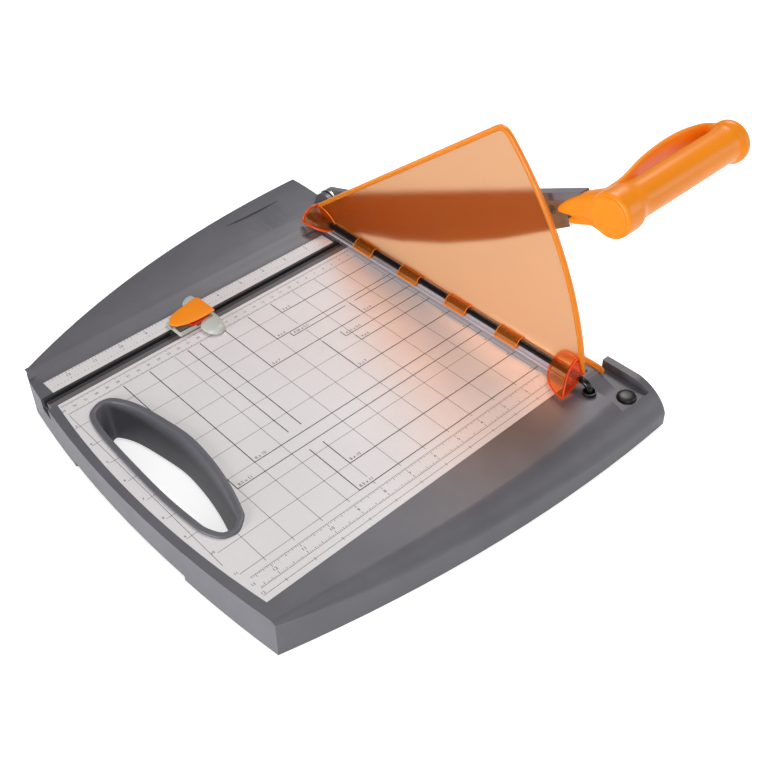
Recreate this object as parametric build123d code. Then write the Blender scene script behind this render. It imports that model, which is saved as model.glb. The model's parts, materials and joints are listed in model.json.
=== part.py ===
"""Desk paper trimmer: a lever blade with a see-through guard, and a small cutter sliding on a rail.

Sizes are in millimetres. The model is laid out from three planes that a user works with: the cut
line of the lever blade is x = 0 with the mat on its left, the paper fence is y = 0 with the front
of the trimmer towards -y, and the table is z = 0. The finished parts are then moved together so
that the origin is the middle of the whole trimmer's footprint on the table.
"""
import math
import os

from build123d import *

# Levels of the base
deck_height = 36.5
foot_drop = 1.5
shell_wall = 3.0
deck_wall = 3.2
overrun = 6.0
slack = 0.15
seat_gap = 0.3

# Mat, measured from the cut line and from the fence
mat_left_back = 330.0
mat_left_bow = 338.6
mat_left_front = 326.0
mat_right = 6.5
mat_back = 42.2
mat_front = 310.5
mat_thickness = 2.0

# Outline of the base around the mat
rim_back = 0.5
rim_bow = 7.2
rim_front = 5.8
wall_flare = 2.2
apron_left = 17.0
apron_right = 62.0
front_bow = 14.0
shoulder_width_left = 12.0
shoulder_width_right = 38.0
shoulder_drop_left = 12.0
shoulder_drop_right = 31.0
shoulder_skim = 0.7
lift_notch_start = 78.0
lift_notch_end = 232.0
lift_notch_height = 5.0
rib_thickness = 2.0
rib_depth = 9.0
round_share = 0.55

# Raised band behind the fence
band_depth_left = 8.0
band_depth_right = 75.5
band_bow = 16.5
band_corner_radius = 13.0
band_end_x = 8.0
band_end_y = 30.0
fence_wall = 1.8
fence_run = 6.0
fence_rise = 4.8
band_crest = 9.6
band_crest_y = 42.0
band_back_rise = 8.0
peg_shares = (0.20, 0.50, 0.78)
peg_y = 12.0
peg_radius = 3.0
peg_depth = 3.0
peg_root = 1.5
scoop_radius = 260.0
scoop_x = 59.0
scoop_front = 22.0
scoop_front_rise = 7.5
scoop_back = 55.0
scoop_back_rise = 8.1

# Ruler strip and cutter rail
ledge = 10.0
ruler_width = 16.4
ruler_left = 325.0
ruler_right = 26.0
ruler_thickness = 1.5
rail_width = 15.6
rail_depth = 11.0
rail_right = 19.0
rail_left = 335.0
rail_slot_width = 4.0
rail_slot_front = 2.6
rail_tee_width = 6.6
rail_tee_height = 4.6
rail_lip = 2.2
strip_width = 6.4
strip_thickness = 2.0

# Hand slot through the base
slot_half_width = 25.7
slot_half_length = 91.8
slot_mat_gap = 12.0
slot_middle_y = 158.0
slot_rim_width = 5.4
slot_rim_height = 2.2
slot_sleeve = 2.6
slot_corner_radius = 14.0
slot_outline_shares = (
    (-0.80, 0.78),
    (-1.00, 0.00),
    (-0.80, -0.80),
    (-0.15, -1.00),
    (0.50, -0.84),
    (1.00, 0.04),
    (0.55, 0.84),
    (-0.20, 1.00),
)

# Bed blade along the cut line
bed_thickness = 2.8
bed_depth = 18.0
bed_shear_gap = 0.15
bed_back = 12.0
bed_front = 308.0
bed_screw_y = (40.0, 127.0, 214.0, 296.0)

# Front right block with the pocket that the handle lands in
block_right = 29.0
block_back = 311.0
pocket_depth = 8.0
pocket_left = 11.0
pocket_length = 47.5
pocket_wall = 6.6
bumper_x = 7.5
bumper_y = 348.0
bumper_radius = 7.6
bumper_rise = 3.2
bumper_seat = 2.0

# Countersunk screws and rubber feet
screw_radius = 2.0
screw_head_radius = 3.8
screw_head_height = 1.5
screw_length = 8.0
screw_fit = 0.05
boss_radius = 5.0
foot_radius = 8.0
foot_recess = 1.2
foot_post_radius = 10.5
foot_inset_left = 20.0
foot_inset_front = 26.0
foot_back_left_y = 16.0
foot_back_right_x = 20.0
foot_back_right_y = 46.0
foot_front_right_x = 12.0
foot_front_right_y = 336.0

# Pivot of the lever blade
pivot_y = 8.0
pivot_rise = 14.0
pivot_radius = 4.0
pivot_fit = 0.05
bracket_thickness = 5.0
bracket_radius = 14.0
bracket_back = 26.0
bracket_front = 8.0
bracket_reach_down = 26.0
bracket_gap = 1.2
washer_radius = 9.0
washer_thickness = 1.0
nut_radius = 6.2
nut_thickness = 3.2
bolt_head_radius = 7.0
bolt_head_height = 4.6
bush_wall = 2.0

# Lever arm, in lengths along the arm from the pivot and heights across it
arm_raise_deg = 24.5
blade_thickness = 2.5
blade_top = 8.0
blade_end = 310.0
hub_radius = 15.0
hub_thickness = 7.0
blade_edge_along = (18.0, 94.0, 160.0, 229.0, 310.0)
blade_edge_drop = (27.0, 34.7, 35.1, 29.5, 17.3)
beam_start = 36.0
beam_end = 331.0
beam_top = 10.6
beam_web = 2.4
beam_lip = 2.1
beam_lip_drop = 6.3
beam_plate = 4.4
beam_drop_back = 8.0
beam_drop_middle = 25.0
beam_drop_front = 9.0
beam_waist_back = 66.0
beam_waist_front = 240.0
blade_screw_along = (97.0, 188.0, 296.0)
blade_screw_drop = (18.0, 18.0, 3.5)

# Handle, a crossbar grip with a finger loop towards the pivot
nose_start = 305.0
nose_half_height = 3.0
nose_drop = 1.0
nose_left = 5.0
nose_right = 9.6
chin_along = 320.0
chin_drop = 12.0
throat_along = 337.0
throat_drop = 13.5
brow_along = 330.0
brow_rise = 13.4
knob_left = 8.6
knob_right = 14.0
grip_along = 358.0
grip_drop = 5.5
knob_radius = 18.0
grip_radius = 14.3
grip_end = 141.0
flange_radius = 17.5
flange_width = 11.0
loop_tilt_deg = 22.0
loop_offset = 25.6
loop_thickness = 5.0
loop_half_width = 12.5
loop_round = 2.0
loop_along_shares = (0.0, 0.22, 0.46, 0.70, 0.88, 1.0)
loop_rise_shares = (0.50, 0.60, 0.88, 1.0, 0.88, 0.60)
handle_round = 3.0
cap_radius = 15.4
cap_depth = 2.0
cap_proud = 0.8
handle_screw_along = (316.0, 326.0)
handle_screw_drop = (3.0, 1.0)

# Guard, rod and hold-down strip, which press down together
clamp_travel = 2.2
rod_radius = 2.75
rod_x = 17.3
rod_rise = 9.0
rod_front = 329.5
rod_back = 14.0
rod_bend = 7.0
rod_leg_drop = 24.0
rod_fit = 0.05
guard_x = 12.0
guard_sheet = 2.6
guard_rim = 3.6
guard_rim_width = 4.6
guard_back_y = 10.0
guard_back_low = 10.5
guard_back_high = 20.5
guard_peak_y = 222.0
guard_peak_rise = 196.0
guard_peak_radius = 9.0
guard_front_y = 319.5
guard_front_low = 10.5
guard_front_middle_y = 288.0
guard_front_middle_rise = 108.0
knuckle_radius = 4.5
knuckle_length = 30.0
knuckle_pitch = 59.7
knuckle_first = 47.6
strip_left = 25.0
strip_right = 9.0
strip_back = 12.0
strip_front = 318.0
strip_bevel = 1.2
ear_shell = 2.0
ear_bulge = 3.0
ear_tip_share = 0.5
front_ear_tip = 287.0
front_ear_end = 321.0
front_ear_reach = 28.0
front_ear_rise = 29.0
back_ear_tip = 18.0
back_ear_end = 8.0
back_ear_reach = 21.0
back_ear_rise = 15.0
back_ear_lift = 3.9
fin_x = 13.0
fin_thickness = 2.4
fin_top = 3.6
fin_height = 8.5
fin_flat_end = 296.0
fin_tail_y = 270.0
fin_tail_drop = 12.0
crossbar_depth = 3.0
crossbar_low = 2.6
crossbar_height = 2.4
grommet_radius = 4.75
grommet_flange_radius = 5.6
grommet_flange = 3.2
grommet_sleeve = 6.0
grommet_flare = 1.8
cup_bore = 4.85
cup_radius = 8.0
cup_floor = 2.5
cup_depth = 28.0
collar_radius = 4.3
collar_height = 1.5
spring_wire = 0.8
spring_radius = 3.75
spring_turns = 6

# Sliding cutter
carriage_x = 192.5
carriage_gap = 0.7
carriage_half_length = 20.5
carriage_front = 46.0
carriage_back = 18.5
carriage_plate = 3.0
wing_front_reach = 19.0
wing_front_along = 10.3
wing_front_half = 10.2
wing_back_reach = 14.5
wing_back_along = 13.5
wing_back_half = 7.5
window_along = 13.8
window_half_length = 5.2
window_front_margin = 2.0
window_width = 7.5
window_pane = 1.2
runner_length = 9.0
runner_fit = 0.2
lug_half_length = 2.2
lug_half_width = 2.0
lug_over_pin = 1.8
pin_radius = 1.25
pin_fit = 0.05
pin_along = 15.5
pin_rise = 8.2
pin_half_length = 3.8
lever_left = 20.0
lever_right = 19.5
lever_nose_radius = 7.6
lever_half_width = 12.6
lever_y = 29.5
lever_low = 6.6
lever_thickness = 4.6
lever_round = 1.2
cartridge_left = 5.0
cartridge_right = 13.0
cartridge_back = 21.0
cartridge_margin = 2.6
cartridge_low = 2.7
cartridge_gap = 1.0
wheel_radius = 3.8
wheel_thickness = 0.6
wheel_along = 4.0
wheel_rise = 1.7
wheel_gap = 0.4
axle_radius = 0.9
axle_half_length = 2.2
lever_spring_radius = 1.4
lever_spring_wire = 0.5
lever_spring_along = 9.0
lever_spring_turns = 2

# Places worked out from the sizes above
deck = deck_height
rim_bottom = foot_drop
pivot_z = deck + pivot_rise
bed_face = -bed_shear_gap
bed_seat = bed_face - bed_thickness
left_front_x = -(mat_left_front + rim_front)
left_bow_x = -(mat_left_bow + rim_bow)
left_back_x = -(mat_left_back + rim_back)
front_left_y = -(mat_front + apron_left)
front_right_y = -(mat_front + apron_right)
ruler_back_y = -ledge
ruler_front_y = ruler_back_y - ruler_width
rail_back_y = ruler_front_y
rail_front_y = rail_back_y - rail_width
slot_y = rail_back_y - rail_slot_front - rail_slot_width / 2
slot_centre = (-(mat_left_bow - slot_mat_gap - slot_half_width), -slot_middle_y)
bracket_outer = -bracket_gap
bracket_inner = bracket_outer - bracket_thickness
hub_face = blade_thickness + slack
hub_outer = hub_face + hub_thickness
rod_z = deck + rod_rise
strip_low = deck + clamp_travel + seat_gap
strip_top = rod_z - knuckle_radius
knuckle_room = front_ear_tip - slack - knuckle_first - knuckle_length
knuckle_count = int(knuckle_room / knuckle_pitch) + 1
guard_left = -(guard_x + guard_rim / 2)
guard_right = -(guard_x - guard_rim / 2)
carriage_low = deck + carriage_gap
plate_top = carriage_low + carriage_plate
lever_bottom = deck + lever_low
pin_place = (-(carriage_x + pin_along), deck + pin_rise)
wheel_y = rail_front_y + strip_width / 2
wheel_place = (-(carriage_x - wheel_along), deck + wheel_rise + wheel_radius)


def block(x0, x1, y0, y1, z0, z1):
    """A box between two corners."""
    corner = (Align.MIN, Align.MIN, Align.MIN)
    return Pos(x0, y0, z0) * Box(x1 - x0, y1 - y0, z1 - z0, align=corner)


def bar_x(radius, x0, x1, y, z):
    """A round bar along x."""
    stand = (Align.CENTER, Align.CENTER, Align.MIN)
    return Pos(x0, y, z) * Rot(0, 90, 0) * Cylinder(radius, x1 - x0, align=stand)


def bar_y(radius, y0, y1, x, z):
    """A round bar along y."""
    stand = (Align.CENTER, Align.CENTER, Align.MIN)
    return Pos(x, y0, z) * Rot(-90, 0, 0) * Cylinder(radius, y1 - y0, align=stand)


def bar_z(radius, z0, z1, x, y):
    """A round bar along z."""
    stand = (Align.CENTER, Align.CENTER, Align.MIN)
    return Pos(x, y, z0) * Cylinder(radius, z1 - z0, align=stand)


def plate_x(points, x0, x1):
    """A plate of even thickness along x, from the corners of its outline in y and z."""
    wire = Wire.make_polygon([Vector(x0, y, z) for y, z in points], close=True)
    return extrude(Face(wire), amount=x1 - x0, dir=(1, 0, 0))


def outline_face(edges):
    """A flat face inside a closed run of edges."""
    return Face(Wire(edges))


def line(a, b):
    return Edge.make_line(Vector(*a), Vector(*b))


def bowed(a, b, bow, z):
    """A level arc from a to b that stands out to the right of the way from a to b by bow."""
    along = Vector(b[0] - a[0], b[1] - a[1], 0)
    side = Vector(along.Y, -along.X, 0).normalized() * bow
    middle = Vector((a[0] + b[0]) / 2, (a[1] + b[1]) / 2, 0) + side
    return Edge.make_three_point_arc(
        Vector(a[0], a[1], z), Vector(middle.X, middle.Y, z), Vector(b[0], b[1], z)
    )


def arm_place(shape):
    """Swings a piece of the arm, laid out level, up to the raised position."""
    return shape.rotate(Axis((0, pivot_y, pivot_z), (1, 0, 0)), -arm_raise_deg)


def arm_y(along):
    return pivot_y - along


def arm_z(height):
    return pivot_z + height


def screw_hole(head_x, y, z, turn, length):
    """The clearance of one countersunk screw along x, its head at head_x, driven towards turn."""
    depth = screw_head_height + screw_fit
    head = sorted((head_x, head_x + turn * depth))
    reach = sorted((head_x, head_x + turn * (length + screw_fit)))
    hole = bar_x(screw_head_radius + screw_fit, head[0], head[1], y, z)
    return hole + bar_x(screw_radius + screw_fit, reach[0], reach[1], y, z)


def screw(head_x, y, z, turn, length):
    """One flat-headed screw along x with a cross slot."""
    head = sorted((head_x, head_x + turn * screw_head_height))
    reach = sorted((head_x, head_x + turn * length))
    body = bar_x(screw_head_radius, head[0], head[1], y, z)
    body += bar_x(screw_radius, reach[0], reach[1], y, z)
    half = screw_radius
    thin = screw_head_height / 3
    cut = sorted((head_x - turn * thin, head_x + turn * thin))
    body -= block(cut[0], cut[1], y - half, y + half, z - thin, z + thin)
    body -= block(cut[0], cut[1], y - thin, y + thin, z - half, z + half)
    return body


def base_outline(z, flare):
    """The outline of the base at one level, the ends of its left wall standing out by flare."""
    front_left = (left_front_x - flare, front_left_y)
    front_right = (block_right, front_right_y)
    back_right = (band_end_x, band_depth_right)
    back_left = (left_back_x - flare, band_depth_left)
    left_bow = (left_front_x + left_back_x) / 2 - flare - left_bow_x
    stops = (
        front_right,
        (block_right, -block_back),
        (bed_seat, -block_back),
        (bed_seat, band_end_y),
        (band_end_x, band_end_y),
        back_right,
    )
    edges = [bowed(front_left, front_right, front_bow, z)]
    for a, b in zip(stops, stops[1:]):
        edges.append(line((*a, z), (*b, z)))
    edges.append(bowed(back_right, back_left, band_bow, z))
    edges.append(bowed(back_left, front_left, left_bow, z))
    face = outline_face(edges)
    corner = face.vertices().sort_by_distance(Vector(*back_left, z))[0]
    return face.fillet_2d(band_corner_radius, [corner])


def front_y(x):
    """The y of the bowed front edge of the base at one x."""
    a = Vector(left_front_x, front_left_y)
    b = Vector(block_right, front_right_y)
    chord = (b - a).length
    radius = (chord * chord / 4 + front_bow * front_bow) / (2 * front_bow)
    inward = Vector(-(b - a).Y, (b - a).X).normalized()
    centre = (a + b) / 2 + inward * (radius - front_bow)
    return centre.Y - math.sqrt(radius * radius - (x - centre.X) ** 2)


def shoulder_cutter(inset):
    """What lies outside the rounded front shoulder, which grows from the left end to the right."""
    wires = []
    left = left_bow_x - wall_flare - overrun
    right = block_right + overrun
    stations = 5
    for i in range(stations):
        share = i / (stations - 1)
        x = left + (right - left) * share
        width = shoulder_width_left + (shoulder_width_right - shoulder_width_left) * share
        drop = shoulder_drop_left + (shoulder_drop_right - shoulder_drop_left) * share
        edge = front_y(min(max(x, left_front_x), block_right)) + inset - shoulder_skim
        top = deck - inset + shoulder_skim
        start = Vector(x, edge + width, top)
        end = Vector(x, edge, top - drop)
        curve = Edge.make_bezier(
            start,
            start + Vector(0, -width * round_share, 0),
            end + Vector(0, 0, drop * round_share),
            end,
        )
        outer = edge - shell_wall - overrun - inset
        roof = deck + band_crest + overrun
        corners = [end, Vector(x, outer, end.Z), Vector(x, outer, roof), Vector(x, start.Y, roof), start]
        wires.append(Wire([curve] + [Edge.make_line(p, q) for p, q in zip(corners, corners[1:])]))
    return Solid.make_loft(wires)


def side_profile():
    """The base seen from the side: level deck, fence, and the crowned band behind it."""
    x = left_bow_x - wall_flare - overrun
    front = front_right_y - front_bow - overrun
    back = band_depth_right + band_bow + overrun
    crown = Edge.make_three_point_arc(
        Vector(x, fence_run, deck + fence_rise),
        Vector(x, band_crest_y, deck + band_crest),
        Vector(x, back, deck + band_back_rise),
    )
    low = rim_bottom - overrun
    corners = [
        (x, back, deck + band_back_rise),
        (x, back, low),
        (x, front, low),
        (x, front, deck),
        (x, 0, deck),
        (x, 0, deck + fence_wall),
        (x, fence_run, deck + fence_rise),
    ]
    edges = [crown] + [line(p, q) for p, q in zip(corners, corners[1:])]
    return extrude(outline_face(edges), amount=block_right + overrun - x, dir=(1, 0, 0))


def mat_outline(gap, z):
    """The mat's outline with its left edge gently bowed, grown by gap."""
    back_left = (-mat_left_back - gap, -mat_back + gap)
    front_left = (-mat_left_front - gap, -mat_front - gap)
    front_right = (-mat_right + gap, -mat_front - gap)
    back_right = (-mat_right + gap, -mat_back + gap)
    bow = mat_left_bow - (mat_left_back + mat_left_front) / 2
    return outline_face(
        [
            bowed(back_left, front_left, bow, z),
            line((*front_left, z), (*front_right, z)),
            line((*front_right, z), (*back_right, z)),
            line((*back_right, z), (*back_left, z)),
        ]
    )


def slot_solid(inset, z0, z1):
    """A half-moon prism of four arcs: the hand slot's outline drawn in by inset."""
    points = []
    for across_share, along_share in slot_outline_shares:
        x = slot_centre[0] + across_share * (slot_half_width - inset)
        y = slot_centre[1] + along_share * (slot_half_length - inset)
        points.append(Vector(x, y, z0))
    points.append(points[0])
    arcs = [Edge.make_three_point_arc(*points[i:i + 3]) for i in range(0, len(points) - 1, 2)]
    face = outline_face(arcs)
    face = face.fillet_2d(slot_corner_radius, face.vertices())
    return extrude(face, amount=z1 - z0, dir=(0, 0, 1))


def foot_places():
    left = left_front_x + foot_inset_left
    return (
        (left, front_left_y + foot_inset_front),
        (left, -foot_back_left_y),
        (-foot_back_right_x, foot_back_right_y),
        (foot_front_right_x, -foot_front_right_y),
    )


def leg_places():
    """Where the two bent ends of the guard rod go down into the base."""
    return ((-rod_x, -rod_front), (-rod_x, rod_back))


def bracket_screw_places():
    low = deck - bracket_reach_down / 2
    return ((pivot_y - bracket_radius / 2, low), (pivot_y + bracket_radius / 2, low))


def make_base_cavity():
    """The hollow under the deck, with the cups, posts, bosses and ribs left standing in it."""
    ceiling = deck - mat_thickness - deck_wall
    wires = []
    for z, flare in ((rim_bottom - overrun, wall_flare), (ceiling, 0)):
        inner = offset(base_outline(z, flare), -shell_wall, kind=Kind.INTERSECTION)
        wires.append(inner.face().outer_wire())
    cavity = Solid.make_loft(wires, ruled=True) - shoulder_cutter(shell_wall)
    left = left_bow_x - wall_flare - overrun
    right = block_right + overrun
    floor = rim_bottom - overrun - overrun
    keep = [
        block(left, right, rail_front_y - shell_wall, rail_back_y + shell_wall,
              deck - rail_depth - deck_wall, deck),
        block(-pocket_left - shell_wall, right, front_right_y - front_bow, -block_back + overrun,
              deck - pocket_depth - deck_wall, deck),
        block(bracket_inner - screw_length, bed_seat, -bracket_front - shell_wall,
              bracket_back + shell_wall, deck - bracket_reach_down - shell_wall, deck),
        slot_solid(slot_sleeve - shell_wall, floor, deck),
    ]
    for x, y in leg_places():
        keep.append(bar_z(cup_radius, deck - cup_depth - cup_floor, deck, x, y))
    for x, y in foot_places():
        keep.append(bar_z(foot_post_radius, floor, deck, x, y))
    for y in bed_screw_y:
        reach = bed_face - screw_length - shell_wall
        keep.append(bar_x(boss_radius, reach, bed_seat, -y, deck - bed_depth / 2))
    ribs = 3
    for i in range(1, ribs + 1):
        x = left_bow_x * i / (ribs + 1)
        y = -mat_front * i / (ribs + 1)
        low = ceiling - rib_depth
        keep.append(block(x, x + rib_thickness, front_right_y - front_bow, band_depth_right, low, deck))
        keep.append(block(left, right, y, y + rib_thickness, low, deck))
    for solid in keep:
        cavity -= solid
    return cavity


def make_scoop():
    """A shallow hollow in the band: a wide round bar, tilted so that it bites deepest at the back."""
    run = scoop_back - scoop_front
    tilt = math.degrees(math.atan2(scoop_back_rise - scoop_front_rise, run))
    bar = bar_y(scoop_radius, -run - overrun, 0, 0, scoop_radius)
    return Pos(-scoop_x, scoop_back, deck + scoop_back_rise) * Rot(tilt, 0, 0) * bar


def make_base_moulding():
    """Base and band in one, before the band is parted off at deck level."""
    low = base_outline(rim_bottom, wall_flare)
    roof = deck + band_crest + overrun
    high = base_outline(roof, 0)
    body = side_profile() & Solid.make_loft([low.outer_wire(), high.outer_wire()], ruled=True)
    body -= shoulder_cutter(0)
    left = left_bow_x - wall_flare - overrun
    body -= make_scoop()
    body -= make_base_cavity()
    body -= extrude(mat_outline(slack, deck - mat_thickness), amount=mat_thickness + overrun, dir=(0, 0, 1))
    body -= block(-ruler_left - slack, -ruler_right + slack, ruler_front_y, ruler_back_y + slack,
                  deck - ruler_thickness, roof)
    body -= block(left, -rail_right + slack, rail_front_y, rail_back_y + slack, deck - rail_depth, roof)
    body -= slot_solid(slot_sleeve - slack, rim_bottom - overrun, roof)
    body -= block(-pocket_left, block_right - pocket_wall, -block_back - pocket_length, -block_back + overrun,
                  deck - pocket_depth, roof)
    body -= bar_z(bumper_radius + screw_fit, deck - pocket_depth - bumper_seat, roof, bumper_x, -bumper_y)
    body -= block(left, left_front_x + rim_front + shell_wall, -lift_notch_end, -lift_notch_start,
                  rim_bottom - overrun, rim_bottom + lift_notch_height)
    body -= block(bracket_inner, block_right, -bracket_front - slack,
                  bracket_back + slack, deck - bracket_reach_down - slack, roof)
    for y in bed_screw_y:
        body -= screw_hole(bed_face, -y, deck - bed_depth / 2, -1, screw_length)
    for y, z in bracket_screw_places():
        body -= screw_hole(bracket_outer, y, z, -1, screw_length)
    for x, y in foot_places():
        body -= bar_z(foot_radius + screw_fit, rim_bottom - overrun, rim_bottom + foot_recess, x, y)
    for x, y in leg_places():
        body -= bar_z(cup_bore, deck - cup_depth, roof, x, y)
        body -= bar_z(grommet_flange_radius + seat_gap, deck, roof, x, y)
    groove = rod_radius + seat_gap
    body -= block(-rod_x - groove, -rod_x + groove, 0, rod_back,
                  rod_z - rod_radius - clamp_travel - seat_gap, roof)
    return body


def band_room():
    """The space above the deck behind the fence."""
    left = left_bow_x - wall_flare - overrun
    back = band_depth_right + band_bow + overrun
    return block(left, block_right + overrun, 0, back, deck, deck + band_crest + overrun)


def peg_places():
    return [(left_bow_x * share, peg_y) for share in peg_shares]


def make_base_shell(moulding):
    """The base up to its deck, with blind holes for the band's pegs."""
    body = moulding - band_room()
    for x, y in peg_places():
        body -= bar_z(peg_radius + screw_fit, deck - peg_depth, deck + overrun, x, y)
    return body


def make_back_band(moulding):
    """The raised band, pegged onto the deck."""
    body = moulding & band_room()
    for x, y in peg_places():
        body += bar_z(peg_radius, deck - peg_depth + seat_gap, deck + peg_root, x, y)
    return body


def make_mat_panel():
    panel = extrude(mat_outline(0, deck - mat_thickness), amount=mat_thickness, dir=(0, 0, 1))
    return panel - slot_solid(slot_sleeve - slack, rim_bottom, deck + overrun)


def make_ruler_strip():
    return block(-ruler_left, -ruler_right, ruler_front_y + slack, ruler_back_y, deck - ruler_thickness, deck)


def make_cutter_rail():
    rail = block(-rail_left, -rail_right, rail_front_y + slack, rail_back_y, deck - rail_depth, deck)
    half = rail_slot_width / 2
    tee = rail_tee_width / 2
    rail -= block(-rail_left - overrun, -rail_right + overrun, slot_y - half, slot_y + half,
                  deck - rail_lip - rail_tee_height, deck + overrun)
    rail -= block(-rail_left - overrun, -rail_right + overrun, slot_y - tee, slot_y + tee,
                  deck - rail_lip - rail_tee_height, deck - rail_lip)
    return rail - block(-rail_left - overrun, -rail_right + overrun, rail_front_y - overrun,
                        rail_front_y + slack + strip_width, deck - strip_thickness, deck + overrun)


def make_cutting_strip():
    front = rail_front_y + slack
    return block(-rail_left, -rail_right, front, front + strip_width - slack, deck - strip_thickness, deck)


def make_hand_slot_rim():
    top = deck + slot_rim_height
    rim = slot_solid(0, deck, top)
    rim = fillet(rim.faces().sort_by(Axis.Z)[-1].edges(), slot_rim_height * round_share)
    rim += slot_solid(slot_sleeve, rim_bottom, deck + slot_rim_height / 2)
    rim -= slot_solid(slot_rim_width, rim_bottom - overrun, top + overrun)
    return rim


def make_bed_blade():
    blade = block(bed_seat, bed_face, -bed_front, -bed_back, deck - bed_depth, deck)
    for y in bed_screw_y:
        blade -= screw_hole(bed_face, -y, deck - bed_depth / 2, -1, screw_length)
    return blade


def make_bed_screws():
    return Compound([screw(bed_face, -y, deck - bed_depth / 2, -1, screw_length) for y in bed_screw_y])


def make_pivot_bracket():
    front = -bracket_front
    plate = block(bracket_inner, bracket_outer, front, bracket_back, deck - bracket_reach_down, deck)
    plate += plate_x(
        ((front, deck), (bracket_back, deck), (pivot_y + bracket_radius, pivot_z),
         (pivot_y - bracket_radius, pivot_z)),
        bracket_inner, bracket_outer)
    plate += bar_x(bracket_radius, bracket_inner, bracket_outer, pivot_y, pivot_z)
    plate -= bar_x(pivot_radius + pivot_fit, bracket_inner - overrun, bracket_outer + overrun, pivot_y, pivot_z)
    for y, z in bracket_screw_places():
        plate -= screw_hole(bracket_outer, y, z, -1, screw_length)
    return plate


def make_bracket_screws():
    return Compound([screw(bracket_outer, y, z, -1, screw_length) for y, z in bracket_screw_places()])


def make_pivot_bolt():
    seat = hub_outer + slack + washer_thickness
    bolt = bar_x(pivot_radius, bracket_inner - nut_thickness, seat, pivot_y, pivot_z)
    head = bar_x(bolt_head_radius, seat, seat + bolt_head_height, pivot_y, pivot_z)
    head = chamfer(head.edges().filter_by(GeomType.CIRCLE).group_by(Axis.X)[-1], bolt_head_height / 4)
    return bolt + head


def make_pivot_nut():
    flat = RegularPolygon(nut_radius, 6)
    nut = Pos(bracket_inner - nut_thickness, pivot_y, pivot_z) * Rot(0, 90, 0) * extrude(flat, nut_thickness)
    return nut - bar_x(pivot_radius + pivot_fit, bracket_inner - nut_thickness - overrun, bracket_inner,
                       pivot_y, pivot_z)


def make_pivot_washers():
    rings = []
    for x in (bracket_outer, hub_outer + slack):
        ring = bar_x(washer_radius, x, x + washer_thickness, pivot_y, pivot_z)
        rings.append(ring - bar_x(pivot_radius + pivot_fit, x - overrun, x + overrun, pivot_y, pivot_z))
    return Compound(rings)


def make_bumper():
    seat = deck - pocket_depth - bumper_seat
    top = deck - pocket_depth + bumper_rise
    dome = bar_z(bumper_radius, seat, top, bumper_x, -bumper_y)
    return fillet(dome.faces().sort_by(Axis.Z)[-1].edges(), bumper_rise * round_share)


def make_feet():
    return Compound([bar_z(foot_radius, 0, rim_bottom + foot_recess, x, y) for x, y in foot_places()])


def make_rod_grommets():
    rings = []
    hole = rod_radius + rod_fit
    lip = grommet_flange_radius - hole - grommet_flare
    for x, y in leg_places():
        ring = bar_z(grommet_flange_radius, deck, deck + grommet_flange, x, y)
        ring = fillet(ring.faces().sort_by(Axis.Z)[-1].edges(), lip / 2)
        ring += bar_z(grommet_radius, deck - grommet_sleeve, deck, x, y)
        ring -= bar_z(hole, deck - grommet_sleeve - overrun, deck + grommet_flange + overrun, x, y)
        stand = (Align.CENTER, Align.CENTER, Align.MIN)
        flare = Cone(hole, hole + grommet_flare, grommet_flange + seat_gap, align=stand)
        rings.append(ring - Pos(x, y, deck - seat_gap) * flare)
    return Compound(rings)


def coil(radius, wire, turns, z0, z1, x, y):
    """A compression spring: a round wire swept up a helix between two levels."""
    rise = z1 - z0 - wire
    path = Helix(pitch=rise / turns, height=rise, radius=radius)
    section = Plane(origin=path @ 0, z_dir=path % 0) * Circle(wire / 2)
    spring = sweep(section, path=path)
    pitch_gap = rise / turns - wire
    print("spring gap between turns", round(pitch_gap, 2))
    return Pos(x, y, z0 + wire / 2) * spring


def make_clamp_spring(place):
    x, y = place
    top = deck - grommet_sleeve - slack - collar_height
    return coil(spring_radius, spring_wire, spring_turns, deck - cup_depth + slack, top - slack, x, y)


def make_arm_blade():
    corners = [(arm_y(0), arm_z(-hub_radius)), (arm_y(0), arm_z(blade_top))]
    corners += [(arm_y(blade_end), arm_z(blade_top))]
    edge = list(zip(blade_edge_along, blade_edge_drop))
    corners += [(arm_y(along), arm_z(-drop)) for along, drop in reversed(edge)]
    blade = plate_x(corners, 0, blade_thickness)
    blade += bar_x(hub_radius, 0, blade_thickness, pivot_y, pivot_z)
    blade -= bar_x(pivot_radius + pivot_fit + bush_wall + screw_fit, -overrun, hub_face, pivot_y, pivot_z)
    for along, drop in zip(blade_screw_along, blade_screw_drop):
        blade -= screw_hole(0, arm_y(along), arm_z(-drop), 1, screw_length)
    return arm_place(blade)


def beam_solid(gap):
    """The beam that stiffens the blade, grown by gap."""
    top = arm_z(beam_top + gap)
    outline = (
        (arm_y(beam_start - gap), top),
        (arm_y(beam_end + gap), top),
        (arm_y(beam_end + gap), arm_z(-beam_drop_front - gap)),
        (arm_y(beam_waist_front), arm_z(-beam_drop_middle - gap)),
        (arm_y(beam_waist_back), arm_z(-beam_drop_middle - gap)),
        (arm_y(beam_start - gap), arm_z(-beam_drop_back - gap)),
    )
    outer = hub_face + beam_plate + gap
    beam = plate_x(outline, hub_face - gap, outer)
    lip = -slack - beam_lip - gap
    front = arm_y(beam_end + gap)
    back = arm_y(beam_start - gap)
    beam += block(lip, outer, front, back, arm_z(beam_top - beam_web - gap), top)
    beam += block(lip, -slack + gap, front, back, arm_z(beam_top - beam_lip_drop - gap), top)
    return beam


def make_arm_beam():
    beam = beam_solid(0)
    for along, drop in zip(blade_screw_along, blade_screw_drop):
        beam -= screw_hole(0, arm_y(along), arm_z(-drop), 1, screw_length)
    for along, drop in zip(handle_screw_along, handle_screw_drop):
        beam -= screw_hole(nose_right, arm_y(along), arm_z(-drop), -1, screw_length)
    return arm_place(beam)


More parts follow.
